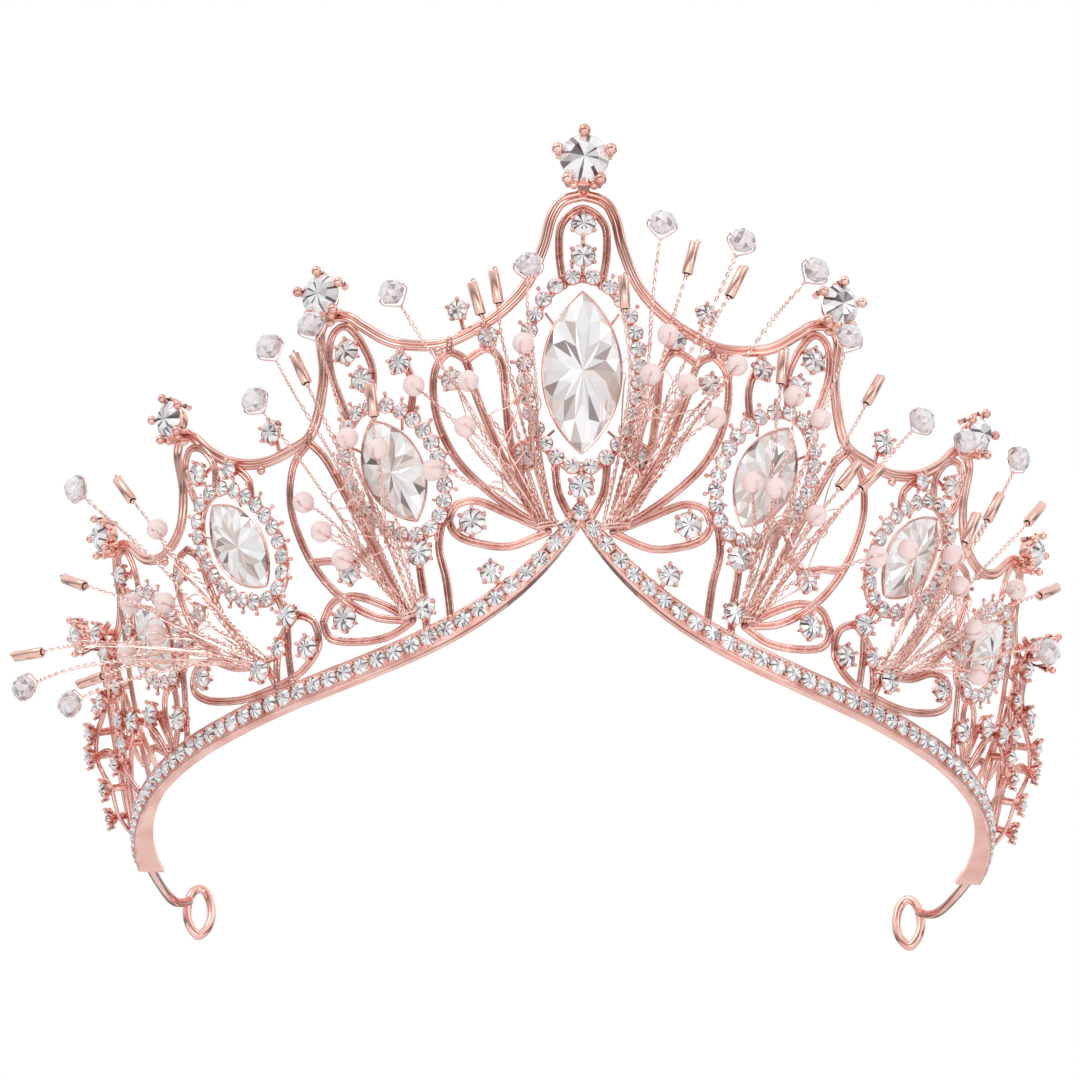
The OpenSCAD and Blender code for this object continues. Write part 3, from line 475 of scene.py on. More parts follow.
def noise(tree, scale, detail=3.0):
    coords = tree.nodes.new("ShaderNodeTexCoord")
    tex = tree.nodes.new("ShaderNodeTexNoise")
    tex.inputs["Scale"].default_value = scale
    tex.inputs["Detail"].default_value = detail
    tree.links.new(coords.outputs["Object"], tex.inputs["Vector"])
    return tex.outputs["Fac"]


def tone_of(tree):
    """The tone that a shape stores on each of its faces."""
    node = tree.nodes.new("ShaderNodeAttribute")
    node.attribute_name = "tone"
    return node.outputs["Fac"]


def ramp(tree, source, stops):
    node = tree.nodes.new("ShaderNodeValToRGB")
    points = node.color_ramp.elements
    while len(points) < len(stops):
        points.new(0.5)
    for point, (at, colour) in zip(points, stops):
        point.position = at
        point.color = (*colour, 1.0)
    tree.links.new(source, node.inputs["Fac"])
    return node.outputs["Color"]


def paint(tree, shader, socket, source, stops):
    """Feeds a shader's socket from a source through a ramp."""
    tree.links.new(ramp(tree, source, stops), shader.inputs[socket])


def grey(v):
    return (v, v, v)


def bump(tree, shader, source, strength, distance):
    node = tree.nodes.new("ShaderNodeBump")
    node.inputs["Strength"].default_value = strength
    node.inputs["Distance"].default_value = distance
    tree.links.new(source, node.inputs["Height"])
    tree.links.new(node.outputs["Normal"], shader.inputs["Normal"])


def metal(name, deep, pale, rough, cast, scale=700.0):
    material, tree, shader = nodes_of(name)
    shader.inputs["Metallic"].default_value = 1.0
    paint(tree, shader, "Base Color", noise(tree, scale * 0.35), [(0.3, deep), (0.62, pale)])
    polish = [(0.3, grey(rough[0])), (0.7, grey(rough[1]))]
    paint(tree, shader, "Roughness", noise(tree, scale), polish)
    bump(tree, shader, noise(tree, scale * 1.6, 2.0), cast, CAST_DEPTH)
    return material


def stone_material(name, stops, rough, metallic):
    material, tree, shader = nodes_of(name)
    paint(tree, shader, "Base Color", tone_of(tree), stops)
    shader.inputs["Roughness"].default_value = rough
    shader.inputs["Metallic"].default_value = metallic
    shader.inputs["IOR"].default_value = 1.6
    shader.inputs["Coat Weight"].default_value = 1.0
    shader.inputs["Coat Roughness"].default_value = 0.02
    return material


ROSE_DEEP, ROSE_PALE = (0.66, 0.31, 0.26), (0.92, 0.58, 0.52)
SMOOTH_DEEP, SMOOTH_PALE = (0.76, 0.39, 0.33), (0.93, 0.61, 0.54)
THREAD_DEEP, THREAD_PALE = (0.80, 0.46, 0.39), (0.96, 0.72, 0.66)
rose = metal("rose_gold_cast", ROSE_DEEP, ROSE_PALE, (0.08, 0.22), 0.5)
rose_smooth = metal("rose_gold_polished", SMOOTH_DEEP, SMOOTH_PALE, (0.07, 0.16), 0.12, 300.0)
thread = metal("rose_gold_thread", THREAD_DEEP, THREAD_PALE, (0.2, 0.34), 0.1, 900.0)
# This ramp paints the stones' reflections: low tones come out as dark reflected facets, high tones as
# painted glints.
rhinestone = stone_material(
    "rhinestone",
    [
        (0.0, (0.05, 0.035, 0.04)),
        (0.2, (0.12, 0.09, 0.1)),
        (0.4, (0.36, 0.31, 0.32)),
        (0.62, (0.68, 0.65, 0.66)),
        (0.9, (0.95, 0.95, 0.96)),
    ],
    0.06,
    0.3,
)
# This ramp paints the drop stones' reflections, from dark reflected facets to near-white painted glints.
drop_glass = stone_material(
    "drop_glass",
    [
        (0.0, (0.12, 0.1, 0.1)),
        (0.25, (0.30, 0.27, 0.26)),
        (0.4, (0.52, 0.44, 0.40)),
        (0.52, (0.80, 0.70, 0.64)),
        (0.72, (0.80, 0.77, 0.76)),
        (0.86, (0.90, 0.90, 0.90)),
        (0.95, (0.98, 0.98, 0.99)),
    ],
    0.05,
    0.15,
)


def crystal_material():
    material, tree, shader = nodes_of("pale_crystal")
    # This ramp paints the crystals' facet reflections and the dark painted shade on their end faces.
    stops = [
        (0.1, (0.42, 0.35, 0.37)),
        (0.45, (0.74, 0.66, 0.68)),
        (0.7, (0.90, 0.83, 0.85)),
        (0.95, (0.99, 0.96, 0.97)),
    ]
    paint(tree, shader, "Base Color", tone_of(tree), stops)
    shader.inputs["Transmission Weight"].default_value = 0.25
    shader.inputs["Roughness"].default_value = 0.05
    shader.inputs["IOR"].default_value = 1.5
    shader.inputs["Coat Weight"].default_value = 0.6
    return material


def bead_material():
    material, tree, shader = nodes_of("milky_pink_bead")
    clouds = [(0.3, (0.90, 0.70, 0.68)), (0.7, (0.95, 0.80, 0.78))]
    paint(tree, shader, "Base Color", noise(tree, 420.0, 2.0), clouds)
    paint(tree, shader, "Roughness", noise(tree, 1500.0), [(0.3, grey(0.32)), (0.7, grey(0.46))])
    shader.inputs["Subsurface Weight"].default_value = 0.35
    shader.inputs["Subsurface Radius"].default_value = (0.0012, 0.0008, 0.0007)
    shader.inputs["Subsurface Scale"].default_value = 1.0
    bump(tree, shader, noise(tree, 2200.0), 0.08, BEAD_DEPTH)
    return material


def bugle_material():
    material, tree, shader = nodes_of("bugle_lining_and_bore_shade")
    # The low end of this ramp colours the bore near black: painted shade inside the tube.
    stops = [(0.0, (0.22, 0.09, 0.07)), (0.5, (0.86, 0.52, 0.44)), (1.0, (0.97, 0.76, 0.70))]
    paint(tree, shader, "Base Color", tone_of(tree), stops)
    paint(tree, shader, "Roughness", noise(tree, 900.0), [(0.3, grey(0.1)), (0.7, grey(0.22))])
    shader.inputs["Metallic"].default_value = 0.85
    shader.inputs["Coat Weight"].default_value = 0.5
    return material


crystal_glass, milky, bugle_metal = crystal_material(), bead_material(), bugle_material()

# ---- Frame wires ----
RIM_RAIL, RIM_GAP = 0.5, 0.42
SCROLL_RAIL, SCROLL_GAP = 0.33, 0.33


def run_points(run, side, w=0.6, n=6):
    return np.array([place(p, w) for p in smooth(flip(run, side), n)])


def scroll(s, run, side):
    rails(s, run_points(run, side), SCROLL_RAIL, SCROLL_GAP)


def blob(s, p, w=0.7, r=0.62):
    """Solder dot where wires meet."""
    ball(s, place(p, w), r, 10, 6, 0.7, axes(p[0])[2])


def claws(s, at, radius, count, size, drop, start, lift):
    """Ball-tipped claws round a stone, each on a short leg that rises from the cup."""
    c, x, y, z = at
    for k in range(count):
        q = math.radians(start + 360 * k / count)
        d = math.cos(q) * x + math.sin(q) * y
        foot = c + (radius - 0.3) * d - drop * z
        knee = c + radius * d - drop * 0.5 * z
        neck = c + radius * d + (lift - size * 0.5) * z
        tube(s, [foot, knee, neck], [size * 0.75, size * 0.6, size * 0.62], 6)
        ball(s, c + radius * d + lift * z, size, 10, 6)


# Raised wires of the tail, as arc position, height and offset, that carry its stones
TAIL_RISERS = [
    [[89, 31, 1.2], [90.4, 29.6, 2], [90, 25.6, 1.8], [96, 20.4, 2.2], [101, 17, 3.8],
        [103.8, 14.2, 4.2], [103, 10.8, 3.8], [102, 7.6, 3.2], [106, 5, 2.4], [109, 3.4, 0.8]],
    [[101.4, 22, 1.8], [94, 21.6, 1.4], [88.4, 19.4, 1.6], [88.6, 13.4, 2.4], [87.6, 8.8, 2.8],
        [84, 11.2, 2], [80, 8.4, 1.6], [78, 3.4, 0.8]],
    [[103.8, 14.2, 4.2], [99, 13, 3], [96.4, 9.6, 2.2], [94, 5.6, 1.4], [93, 3.4, 0.8]],
]
# Points of the rim that lie lower than the ones beside them
RIM_VALLEYS = [
    k for k in range(1, len(RIM) - 1) if RIM[k][1] < RIM[k - 1][1] and RIM[k][1] <= RIM[k + 1][1]
]
HALO_CUP = [
    (0.75, -1.1),
    (HALO_R + 0.02, -0.5),
    (HALO_R + 0.2, -0.08),
    (HALO_R + 0.1, 0.06),
    (HALO_R - 0.05, 0.02),
]
rim = Shape()
for side in (-1, 1):
    rails(rim, run_points(RIM, side, 0.4, 8), RIM_RAIL, RIM_GAP, 0.7, sides=10)
    for k in RIM_VALLEYS:
        blob(rim, (side * RIM[k][0], RIM[k][1] - 1.2), 0.6, 0.8)
rim.make("rim_rails", rose_smooth, ["top_rim"], slot="rose_gold")


def panel(i, side, extra, name):
    """One panel's metal: the halo ring, wires to the rim and band, the bezel, cups and their claws."""
    s = Shape()
    ring = [halo_point(i, t) for t in range(90, 450, 6)]
    ring = np.array([place((side * p[0], p[1]), 0.3) for p in ring])
    tube(s, ring, 0.62, 10, True, (0.0, -0.3))
    for run in extra:
        scroll(s, run, side)
        for p in (run[0], run[-1]):
            blob(s, (side * p[0], p[1]))
    u, h, half_w, half_l, tilt = PANELS[i]
    wide, tall = half_w * (reach(h, 0) / BAND_R), half_l / math.cos(FLARE)
    c, x, y, z = seat(side * u, h, DROP_OUT, -side * tilt)
    edge = [c + px * x + py * y + 0.02 * z for px, py in oval(wide + 0.12, tall + 0.15, 56)]
    tube(s, edge, 0.18, 6, True)
    back = [c + px * 0.93 * x + py * 0.93 * y - 0.7 * z for px, py in oval(wide, tall, 56)]
    tube(s, back, 0.3, 6, True)
    turns = halo_turns(i)
    for k, t in enumerate(turns):
        p, hub = halo_point(i, t), np.array([u, h])
        at = seat(side * p[0], p[1], HALO_OUT)
        lathe(s, at, HALO_CUP, 14)
        d = unit(halo_point(i, t) - hub)
        away = side * d[0] * at[1] + d[1] * at[2]
        if k % 2 == 0 or i > 0:
            root, neck = at[0] + HALO_R * away - 0.3 * at[3], at[0] + (HALO_R + 0.75) * away - 0.2 * at[3]
            tube(s, [root, neck], 0.22, 6)
            ball(s, at[0] + (HALO_R + 0.85) * away - 0.15 * at[3], 0.36)
        q = halo_point(i, (t + turns[(k + 1) % len(turns)] + (360 if k == len(turns) - 1 else 0)) / 2)
        d = unit(q - hub)
        for off in (-0.72, 0.72):
            ball(s, place((side * (q[0] + off * d[0]), q[1] + off * d[1]), 1.25), 0.2, 8, 5)
    for t in (45, 135, 225, 315):
        a = halo_point(i, t)
        b = np.array([u, h]) + (a - [u, h]) * np.array([0.9, 0.92])
        e = np.array([u, h]) + (a - [u, h]) * np.array([0.7, 0.78])
        tube(s, [place((side * b[0], b[1]), 0.0), place((side * e[0], e[1]), -0.9)], 0.24, 6)
    s.make(name + "_wires", rose, [name], slot="rose_gold")


panel(0, 1, CENTRE_WIRES, "centre_panel_frame")
for side, word in ((-1, "left"), (1, "right")):
    for i, extra in ((1, PANEL_2_WIRES), (2, PANEL_3_WIRES), (3, PANEL_4_WIRES)):
        panel(i, side, extra, f"panel_{i + 1}_{word}_frame")
    for name, runs in (("leaf_a", LEAF_A), ("leaf_b", LEAF_B), ("leaf_c", LEAF_C), ("tail", TAIL_WIRES)):
        s = Shape()
        for path in TAIL_RISERS if name == "tail" else ():
            line = smooth(path, 6)
            rails(s, [place((side * p[0], p[1]), p[2]) for p in line], SCROLL_RAIL, SCROLL_GAP)
        for run in runs:
            scroll(s, run, side)
            for p in (run[0], run[-1]):
                blob(s, (side * p[0], p[1]))
        s.make(f"{name}_{word}_wires", rose, [f"{name}_{word}"], slot="rose_gold")

# ---- End loops ----
for side, word in ((-1, "left"), (1, "right")):
    s = Shape()
    eye, rest_z = np.array(EYE), LOOP_D / 2 + 0.8
    way = [[69, 1, rest_z], [68.8, 8, rest_z], [67.4, 18, rest_z + 0.8], [65.6, 29, rest_z + 2.6]]
    run = smooth(way + [list(eye + [1.9, -0.6, 1.8])], 8)
    tube(s, run * [side, 1, 1], LOOP_D / 2, 14)
    across = np.array([-0.95, 0.3, 0])
    ring = []
    for a in np.linspace(0, 2 * math.pi, 48, endpoint=False):
        narrow = 1 - 0.4 * max(-math.sin(a), 0) ** 3
        ring.append(eye + EYE_W * math.cos(a) * narrow * across + [0, 0, EYE_H * math.sin(a)])
    tube(s, np.array(ring) * [side, 1, 1], LOOP_D / 2 * 0.9, 12, True)
    s.make(f"end_loop_{word}_wire", rose_smooth, [f"end_loop_{word}"], slot="rose_gold")

# ---- Band ----
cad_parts["base_band"].data.materials.clear()
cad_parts["base_band"].data.materials.append(rose_smooth)
ROW_END = END_ANGLE * BAND_R - 1.6
MARCH_STEP = 0.29
ROW_CUP = [(ROW_R - 0.1, -0.6), (ROW_R + 0.12, -0.3), (ROW_R + 0.16, -0.02), (ROW_R + 0.02, 0.04)]
EDGE_WIRES = ((0.32, 0.4), (0.8, 0.3), (3.3, 0.36))  # height over the band's edge, and radius


def march(left):
    """The arc position that a walk of this length along the band's edge comes to."""
    u = 0.0
    while left > 0:
        climb = math.hypot(1, band_low(u + 0.5) - band_low(u - 0.5))
        u, left = u + MARCH_STEP / climb, left - MARCH_STEP
    return u


row = [u for u in (march(k * ROW_PITCH) for k in range(61)) if u < ROW_END]
stones, trim = Shape(), Shape()
for side in (-1, 1):
    for k, u in enumerate(row):
        if side > 0 or k:
            at = seat(side * u, band_low(u) + ROW_LIFT, BAND_T / 2 + 0.15)
            brilliant(stones, at, ROW_R)
            lathe(trim, at, ROW_CUP, 16)
        ahead = row[k + 1] if k + 1 < len(row) else u + ROW_PITCH
        m = (u + min(ahead, ROW_END)) / 2
        for lift in (-0.85, 0.85):
            p = place((side * m, band_low(m) + ROW_LIFT + lift), BAND_T / 2 + 0.3)
            ball(trim, p, 0.34, 8, 6)
    us = np.concatenate([np.linspace(0, 30, 61), np.linspace(30.5, ROW_END + 1.4, 90)])
    for lift, r in EDGE_WIRES:
        edge = [place((side * v, band_low(v) + lift), BAND_T / 2 - 0.05) for v in us]
        tube(trim, edge, r, 8)
    end_x, end_y = math.sin(END_ANGLE), -math.cos(END_ANGLE)
    cap = smooth([[66.9, 0.45], [68, 0.5], [70, 0.7], [70.7, 1.9], [71.1, 3.3]], 5)
    tube(trim, [[side * r * end_x, r * end_y - 0.1, z] for r, z in cap], 0.55, 8)
stones.make("band_row_stones", rhinestone, ["band_stones"], slot="rhinestone", smooth_angle=0)
trim.make("band_row_settings", rose, slot="rose_gold")

# ---- Peaks ----
PEAK_NODES = [
    [("peak_1_setting", 1)],
    [("peak_2_left_setting", -1), ("peak_2_right_setting", 1)],
    [("peak_3_left_setting", -1), ("peak_3_right_setting", 1)],
    [("peak_4_settings", 0)],
    [("peak_5_settings", 0)],
]
peak_gems = Shape()
for i, group in enumerate(PEAK_NODES):
    u, h, r, w = PEAKS[i]
    for name, which in group:
        s = Shape()
        for side in (-1, 1) if which == 0 else (which,):
            at = seat(side * u, h, w)
            c, x, y, z = at
            cup = [(r * 0.62, -r * 0.95), (r * 0.7, -r * 0.8), (r * 0.8, -r * 0.45), (r * 0.78, -r * 0.38)]
            cup += [(r * 0.92, -r * 0.28), (r * 1.02, -0.05), (r * 0.97, 0.1), (r * 0.9, 0.02)]
            lathe(s, at, cup, 32)
            claws(s, at, r + 0.6, 5, r * 0.27, r * 0.75, 90, 0.45)
            foot = c - (r + 0.5) * y
            tube(s, [foot - (w - 0.4) * z, foot - 0.3 * z], r * 0.3, 12)
            ball(s, foot - (w - 0.4) * z, r * 0.3)
            tube(s, [foot - 0.5 * z, c - r * 0.6 * y - 0.7 * z], r * 0.28, 10)
            for spread in (-1, 1):
                ball(s, foot + spread * r * 0.42 * x - 0.5 * z, r * 0.2)
            brilliant(peak_gems, at, r)
        s.make(name + "_claws", rose_smooth, [name], slot="rose_gold")
peak_gems.make("peak_gems", rhinestone, ["peak_stones"], slot="rhinestone", smooth_angle=0)

# ---- Drop stones, halo stones and loose set stones ----
DROPS = [
    (0, 1, "centre_marquise"),
    (1, -1, "marquise_2_left"),
    (1, 1, "marquise_2_right"),
    (2, 0, "marquise_3_pair"),
    (3, 0, "marquise_4_pair"),
]
for i, which, node in DROPS:
    s = Shape()
    u, h, half_w, half_l, tilt = PANELS[i]
    for side in (-1, 1) if which == 0 else (which,):
        at = seat(side * u, h, DROP_OUT, -side * tilt)
        drop_stone(s, at, half_w * reach(h, 0) / BAND_R, half_l / math.cos(FLARE))
    s.make(node + "_cut", drop_glass, [node], slot="drop_stone", smooth_angle=0)

s = Shape()
for i in range(4):
    for side in (1,) if i == 0 else (-1, 1):
        for t in halo_turns(i):
            p = halo_point(i, t)
            brilliant(s, seat(side * p[0], p[1], HALO_OUT), HALO_R)
s.make("halo_gems", rhinestone, ["halo_stones"], slot="rhinestone", smooth_angle=0)

SIX_CLAWS_OVER = 1.65  # larger stones have six claws, smaller ones five
gems, cups = Shape(), Shape()
for side in (-1, 1):
    for u, h, r, w in ACCENTS + (MIDDLE_ACCENTS if side > 0 else []):
        at = seat(side * u, h, w)
        brilliant(gems, at, r)
        cup = [(0.7, -max(w, 1.5)), (0.6, -1.5), (r * 0.6, -1.2), (r * 0.8, -0.7), (r + 0.08, -0.3)]
        cup += [(r + 0.16, -0.02), (r + 0.04, 0.06), (r - 0.05, 0.0)]
        lathe(cups, at, cup, 18)
        count, start = (6, 30) if r > SIX_CLAWS_OVER else (5, 90)
        claws(cups, at, r + 0.26, count, 0.35, 0.8, start, 0.3)
    for run in ARMS + (MIDDLE_ARMS if side > 0 else []):
        tube(cups, [place((side * p[0], p[1]), 0.35) for p in run], 0.36, 8)
gems.make("accent_gems", rhinestone, ["accent_stones"], slot="rhinestone", smooth_angle=0)
cups.make("accent_claw_cups", rose, ["accent_cups"], slot="rose_gold")

# ---- Sprays ----
TWIST_PITCH, TWIST_R, STRAND_R, TWIST_STEP = 2.3, 0.18, 0.11, 0.22
GATHER, STEM_BEND, CUT_STEP, STRAYS = 0.6, 0.8, 0.2, 9


def even(points, step):
    """The same path with points at an even distance."""
    d = np.concatenate([[0], np.cumsum(np.linalg.norm(np.diff(points, axis=0), axis=1))])
    n = max(int(d[-1] / step), 4)
    at = np.linspace(0, d[-1], n + 1)
    return np.stack([np.interp(at, d, points[:, k]) for k in range(3)], 1)


def twisted(s, points):
    """Two strands twisted by hand: the twist tightens, slackens and opens out along the way."""
    p = even(points, TWIST_STEP)
    t = unit(np.gradient(p, axis=0))
    a = unit(np.cross(t, [0.1, 0.2, 1.0]))
    b = np.cross(t, a)
    k = np.arange(len(p)) * TWIST_STEP
    w1, w2, p1, p2 = rng.uniform(0.25, 0.5), rng.uniform(0.5, 0.9), rng.random() * 6, rng.random() * 6
    pitch = TWIST_PITCH * (1.1 + 0.35 * np.sin(w1 * k + p1) + 0.2 * np.sin(w2 * k + p2))
    phase = np.cumsum(TWIST_STEP / pitch * 2 * math.pi) + rng.random() * 6
    r = TWIST_R * (1.0 + 0.5 * np.maximum(np.sin(w2 * k * 0.7 + p1), 0))[:, None]
    for n in range(2):
        q = (phase + math.pi * n)[:, None]
        tube(s, p + r * (np.cos(q) * a + np.sin(q) * b), STRAND_R, 5)


def wander(points):
    """A hand-bent stem: small bends that die away at both ends."""
    k = np.linspace(0, 1, len(points))
    fade = np.sin(math.pi * k) ** 0.8
    out = np.array(points, float)
    for axis in range(3):
        f1, f2 = rng.uniform(1.2, 2.2), rng.uniform(3, 5)
        p1, p2 = rng.uniform(0, 6.3), rng.uniform(0, 6.3)
        bend = np.sin(f1 * math.pi * k + p1) + 0.35 * np.sin(f2 * math.pi * k + p2)
        out[:, axis] += STEM_BEND * fade * bend * 0.7
    return out


def cut_back(points, d):
    """The path without its last d millimetres."""
    p = even(points, CUT_STEP)
    return p[: max(len(p) - int(d / CUT_STEP), 4)]


def fork(s, c, up, pin):
    """Wire fork and pin that carry a tip crystal."""
    arm = CRYSTAL_R + FORK_GAP
    for side in (-1, 1):
        bow = [
            c - (CRYSTAL_R + 0.9) * up,
            c + side * 1.3 * pin - 1.9 * up,
            c + side * (arm - 0.15) * pin - 1.0 * up,
            c + side * (arm - 0.1) * pin - 0.2 * up,
            c + side * (arm - 0.3) * pin,
        ]
        tube(s, smooth(bow, 5), 0.12, 6)
        ball(s, c + side * (arm - 0.2) * pin, 0.22, 8, 5)
    tube(s, [c - arm * pin, c + arm * pin], 0.16, 8)


def pink_bead(s, c, up, out):
    """Bead at a stem's end, with the wire's end bent up over it."""
    ball(beads, c, BEAD_R, 28, 18, 1.0, out)
    lean = unit(np.cross(up, out)) * rng.uniform(-0.3, 0.3)
    arc = []
    for a in np.linspace(0.0, 1.5, 14):
        d = unit(math.cos(a) * -up + math.sin(a) * out + lean * math.sin(2 * a))
        arc.append(c + (BEAD_R + 0.08) * d)
    tube(s, arc, 0.12, 6)


def bugle_tube(s, c, up):
    """Lined tube at a stem's end, with the wire bent over its top and two turns of it below."""
    side_axis = unit(np.cross(up, [0.2, 0.1, 1.0]))
    other = np.cross(up, side_axis)
    at = (c, side_axis, other, up)
    half, lip, bore = BUGLE_LEN / 2, BUGLE_R * 0.94, BUGLE_R - 0.3
    wall = [(lip, -half), (BUGLE_R, -half + 0.08), (BUGLE_R, half - 0.08), (lip, half)]
    lathe(bugles, at, wall, 14, 0.55)
    lathe(bugles, at, [(bore, -half), (lip, -half)], 14, 0.9)
    lathe(bugles, at, [(lip, half), (bore, half)], 14, 0.9)
    # The bore's tone of 0.05 is painted shade inside the tube.
    lathe(bugles, at, [(bore, half), (bore, -half)], 14, 0.05)
    tube(s, [c - (half + 0.4) * up, c + (half + 0.15) * up], 0.13, 6)
    over = []
    for a in np.linspace(0, math.pi, 8):
        turn = math.cos(a) * side_axis + math.sin(a) * up
        over.append(c + (half + 0.1) * up + 0.42 * turn - 0.42 * side_axis)
    tube(s, over, 0.12, 6)
    for k in range(2):
        knot = []
        for a in np.linspace(0, 2 * math.pi, 14, endpoint=False):
            turn = math.cos(a) * side_axis + math.sin(a) * other
            knot.append(c - (half + 0.2 + 0.2 * k) * up + (0.3 - 0.06 * k) * turn)
        tube(s, knot, 0.13, 6, True)


def stray(s, i, curl):
    """A loose wire that crosses from stem to stem, with a small loop beside it where curl is set."""
    a, b = rng.sample(SPRAYS[i], 2)
    pa, pb = stem_points(i, a, gather=GATHER), stem_points(i, b, gather=GATHER)
    m = int(len(pa) * rng.uniform(0.3, 0.75))
    out = axes(a[0])[2]
    lift = rng.uniform(0.3, 1.6)
    way = [
        pa[2],
        pa[m // 2] + lift * 0.4 * out,
        pa[m] + lift * out,
        (pa[m] + pb[m]) / 2 + lift * out,
        pb[m] + lift * 0.6 * out,
        pb[m // 2],
        pb[2],
    ]
    tube(s, even(smooth(way, 8), 0.5), 0.12, 5)
    if curl:
        up = unit(pa[m] - pa[m - 2])
        side_axis = unit(np.cross(out, up))
        size = rng.uniform(1.0, 2.0)
        loop = []
        for q in np.linspace(0, 2 * math.pi, 12):
            swing = 0.6 * math.sin(q) * side_axis * rng.uniform(0.9, 1.1)
            loop.append(pa[m] + 0.3 * out + size * (swing + (1 - math.cos(q)) * up))
        tube(s, even(smooth(loop, 3), 0.3), 0.11, 5)


def root_wrap(s, i):
    """Two turns of wire round a spray's stems where they start."""
    root = place(ROOTS[i], 1.3)
    along, up, out = axes(ROOTS[i][0])
    width = STEM_GAP * len(SPRAYS[i]) * 0.3
    for lift in (0.2, 0.75):
        turn = []
        for a in np.linspace(0, 2 * math.pi, 28, endpoint=False):
            rise = lift + 0.3 * math.cos(a)
            turn.append(root + (width + 0.2) * math.cos(a) * along + 0.5 * math.sin(a) * out + rise * up)
        tube(s, turn, 0.14, 6, True)


beads, bugles, crystals = Shape(), Shape(), []
for i, word in enumerate(SPRAY_NAMES):
    s = Shape()
    for t in SPRAYS[i]:
        path = wander(stem_points(i, t, gather=GATHER))
        c, up = path[-1], tip_dir(i, t)
        if t[3] == CRYSTAL:
            twisted(s, cut_back(path, CRYSTAL_R + 0.7))
            pin = unit(np.cross(up, [c[0], c[1], 0.0]))
            fork(s, c, up, pin)
            crystals.append((c, pin))
        elif t[3] == BEAD:
            twisted(s, cut_back(path, BEAD_R + 0.1))
            pink_bead(s, c, up, axes(t[0])[2])
        else:
            twisted(s, cut_back(path, BUGLE_LEN / 2 + 0.2))
            bugle_tube(s, c, up)
    for k in range(STRAYS):
        stray(s, i, k % 2 == 0)
    root_wrap(s, i)
    s.make(f"spray_{word}_threads", thread, [f"spray_{word}"], slot="spray_wire")
beads.make("milky_beads", milky, ["pink_beads"], slot="pink_glass", smooth_angle=180)
bugles.make("bugle_tubes_lined", bugle_metal, ["bugle_tubes"], slot="bugle")

# Crystal facet tones are painted reflections; the two end faces get a dark painted shade.
CRYSTAL_REFLECTIONS = [(0.95, 5), (0.7, 3), (0.45, 2), (0.15, 1.2)]
END_SHADE = 0.15
CRYSTAL_SIDES = 10
# Each ring of a crystal's corners: radius, height along the pin, and whether it is turned by half a step
CRYSTAL_TIERS = [
    (0.85, -2.0, 0),
    (1.5, -1.3, 1),
    (1.95, -0.42, 0),
    (1.95, 0.42, 1),
    (1.5, 1.3, 0),
    (0.85, 2.0, 1),
]
for k, (c, pin) in enumerate(crystals):
    s = Shape()
    x = unit(np.cross(pin, [0.1, 0.3, 1.0]))
    y = np.cross(pin, x)
    verts = []
    for r, z, half in CRYSTAL_TIERS:
        for q in range(CRYSTAL_SIDES):
            a = (q + 0.5 * half) * 2 * math.pi / CRYSTAL_SIDES
            verts.append(c + r * (math.cos(a) * x + math.sin(a) * y) + z * pin)
    faces = []
    for j in range(len(CRYSTAL_TIERS) - 1):
        a, b = j * CRYSTAL_SIDES, (j + 1) * CRYSTAL_SIDES
        for q in range(CRYSTAL_SIDES):
            m = (q + 1) % CRYSTAL_SIDES
            if CRYSTAL_TIERS[j][2]:
                faces += [(a + q, b + m, b + q), (a + q, a + m, b + m)]
            else:
                faces += [(a + q, a + m, b + q), (b + q, a + m, b + m)]
    tones = [pick(CRYSTAL_REFLECTIONS) for _ in faces] + [END_SHADE, END_SHADE]
    last = (len(CRYSTAL_TIERS) - 1) * CRYSTAL_SIDES
    faces += [tuple(range(CRYSTAL_SIDES - 1, -1, -1)), tuple(last + q for q in range(CRYSTAL_SIDES))]
    s.add(verts, faces, tones)
    name, body = f"crystal_{k + 1}", f"crystal_{k + 1}_bead"
    s.make(name + "_cut", crystal_glass, [name], body, slot="crystal", smooth_angle=0)

# ---- Floor, light and camera ----
FLOOR_Z, FLOOR_HALF = -0.45, 3
corners = [(x * FLOOR_HALF, y * FLOOR_HALF, FLOOR_Z) for x, y in ((-1, -1), (1, -1), (1, 1), (-1, 1))]
floor_mesh = bpy.data.meshes.new("studio_floor")
floor_mesh.from_pydata(corners, [], [(0, 1, 2, 3)])
floor_material, tree, shader = nodes_of("studio_floor")
paint(tree, shader, "Base Color", noise(tree, 6.0), [(0.3, (0.90, 0.89, 0.89)), (0.7, (0.92, 0.91, 0.91))])
shader.inputs["Roughness"].default_value = 0.7
floor_mesh.materials.append(floor_material)
floor = bpy.data.objects.new("studio_floor", floor_mesh)
bpy.context.scene.collection.objects.link(floor)

scene = bpy.context.scene
scene.view_settings.view_transform = "Standard"
world = bpy.data.worlds.new("studio")
scene.world = world
world.use_nodes = True
tree = world.node_tree
tree.nodes.clear()
coords = tree.nodes.new("ShaderNodeTexCoord")
split = tree.nodes.new("ShaderNodeSeparateXYZ")
tree.links.new(coords.outputs["Generated"], split.inputs["Vector"])
height = tree.nodes.new("ShaderNodeMapRange")
height.inputs["From Min"].default_value = -1.0
height.inputs["From Max"].default_value = 1.0
tree.links.new(split.outputs["Z"], height.inputs["Value"])
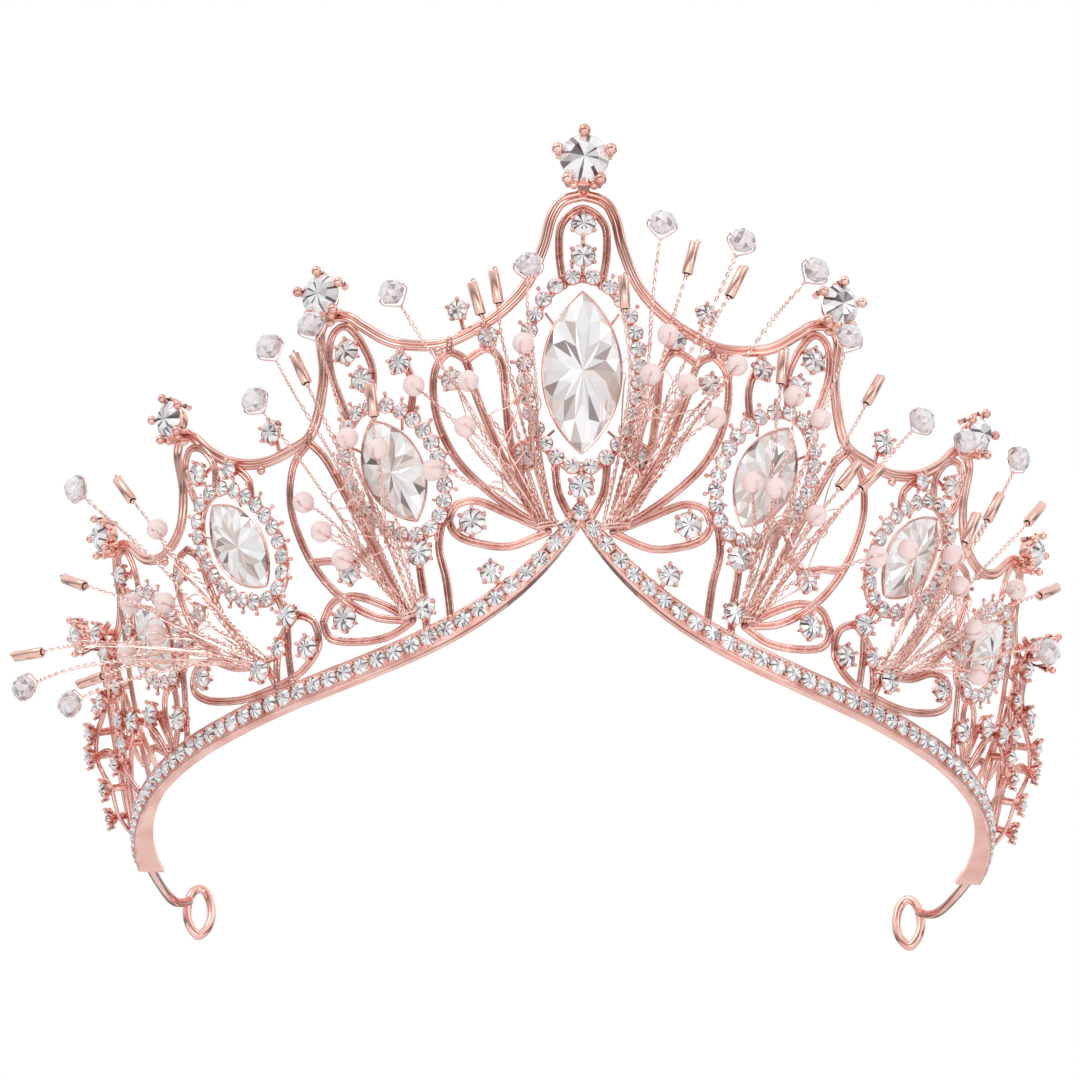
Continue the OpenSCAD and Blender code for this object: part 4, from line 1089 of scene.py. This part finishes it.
# Seen in the metal and stones: bright above and below, with a dark band at the height of the eye
SKY = [
    (0.0, grey(1.0)),
    (0.3, grey(0.85)),
    (0.44, grey(0.34)),
    (0.5, grey(0.16)),
    (0.55, grey(0.42)),
    (0.7, grey(1.0)),
]
bands = ramp(tree, height.outputs["Result"], SKY)
studio = tree.nodes.new("ShaderNodeBackground")
tree.links.new(bands, studio.inputs["Color"])
white = tree.nodes.new("ShaderNodeBackground")
white.inputs["Color"].default_value = (1, 1, 1, 1)
path_node = tree.nodes.new("ShaderNodeLightPath")
mix = tree.nodes.new("ShaderNodeMixShader")
either = tree.nodes.new("ShaderNodeMath")
either.operation = "MAXIMUM"
tree.links.new(path_node.outputs["Is Camera Ray"], either.inputs[0])
tree.links.new(path_node.outputs["Is Transmission Ray"], either.inputs[1])
tree.links.new(either.outputs[0], mix.inputs[0])
tree.links.new(studio.outputs["Background"], mix.inputs[1])
tree.links.new(white.outputs["Background"], mix.inputs[2])
out_node = tree.nodes.new("ShaderNodeOutputWorld")
tree.links.new(mix.outputs["Shader"], out_node.inputs["Surface"])


LIGHT_AIM = Vector((0, 0, 0.03))


def light(name, where, size, power):
    data = bpy.data.lights.new(name, "AREA")
    data.shape, data.size, data.size_y, data.energy = "RECTANGLE", size[0], size[1], power
    obj = bpy.data.objects.new(name, data)
    obj.location = where
    obj.rotation_mode = "QUATERNION"
    obj.rotation_quaternion = (LIGHT_AIM - Vector(where)).to_track_quat("-Z", "Y")
    scene.collection.objects.link(obj)


light("key_softbox", (-0.55, -0.75, 0.75), (0.5, 0.5), 1.8)
light("fill_softbox", (0.7, -0.7, 0.1), (0.35, 0.8), 1.0)
light("low_softbox", (-0.1, -0.85, -0.38), (0.7, 0.3), 0.8)
light("back_softbox", (0.1, 0.8, 0.6), (0.8, 0.4), 1.0)

AZIMUTH, ELEVATION, ROLL = math.radians(-1.798), math.radians(-28.057), math.radians(0.155)
DISTANCE, TARGET = 0.8, Vector((-0.00387, 0.0, 0.06027)) + Vector(SET_DOWN) * MM
SENSOR, LENS, NEAREST = 36.0, 154.88, 0.01
level = math.cos(ELEVATION)
back = Vector((math.sin(AZIMUTH) * level, -math.cos(AZIMUTH) * level, math.sin(ELEVATION)))
right = Vector((math.cos(AZIMUTH), math.sin(AZIMUTH), 0))
up = right.cross(-back).normalized()
right, up = math.cos(ROLL) * right + math.sin(ROLL) * up, math.cos(ROLL) * up - math.sin(ROLL) * right
camera_data = bpy.data.cameras.new("view")
camera_data.sensor_width = SENSOR
camera_data.lens = LENS
camera_data.clip_start = NEAREST
camera = bpy.data.objects.new("view", camera_data)
camera.matrix_world = Matrix((
    (right.x, up.x, back.x, 0),
    (right.y, up.y, back.y, 0),
    (right.z, up.z, back.z, 0),
    (0, 0, 0, 1),
))
camera.location = TARGET + back * DISTANCE
scene.collection.objects.link(camera)
scene.camera = camera
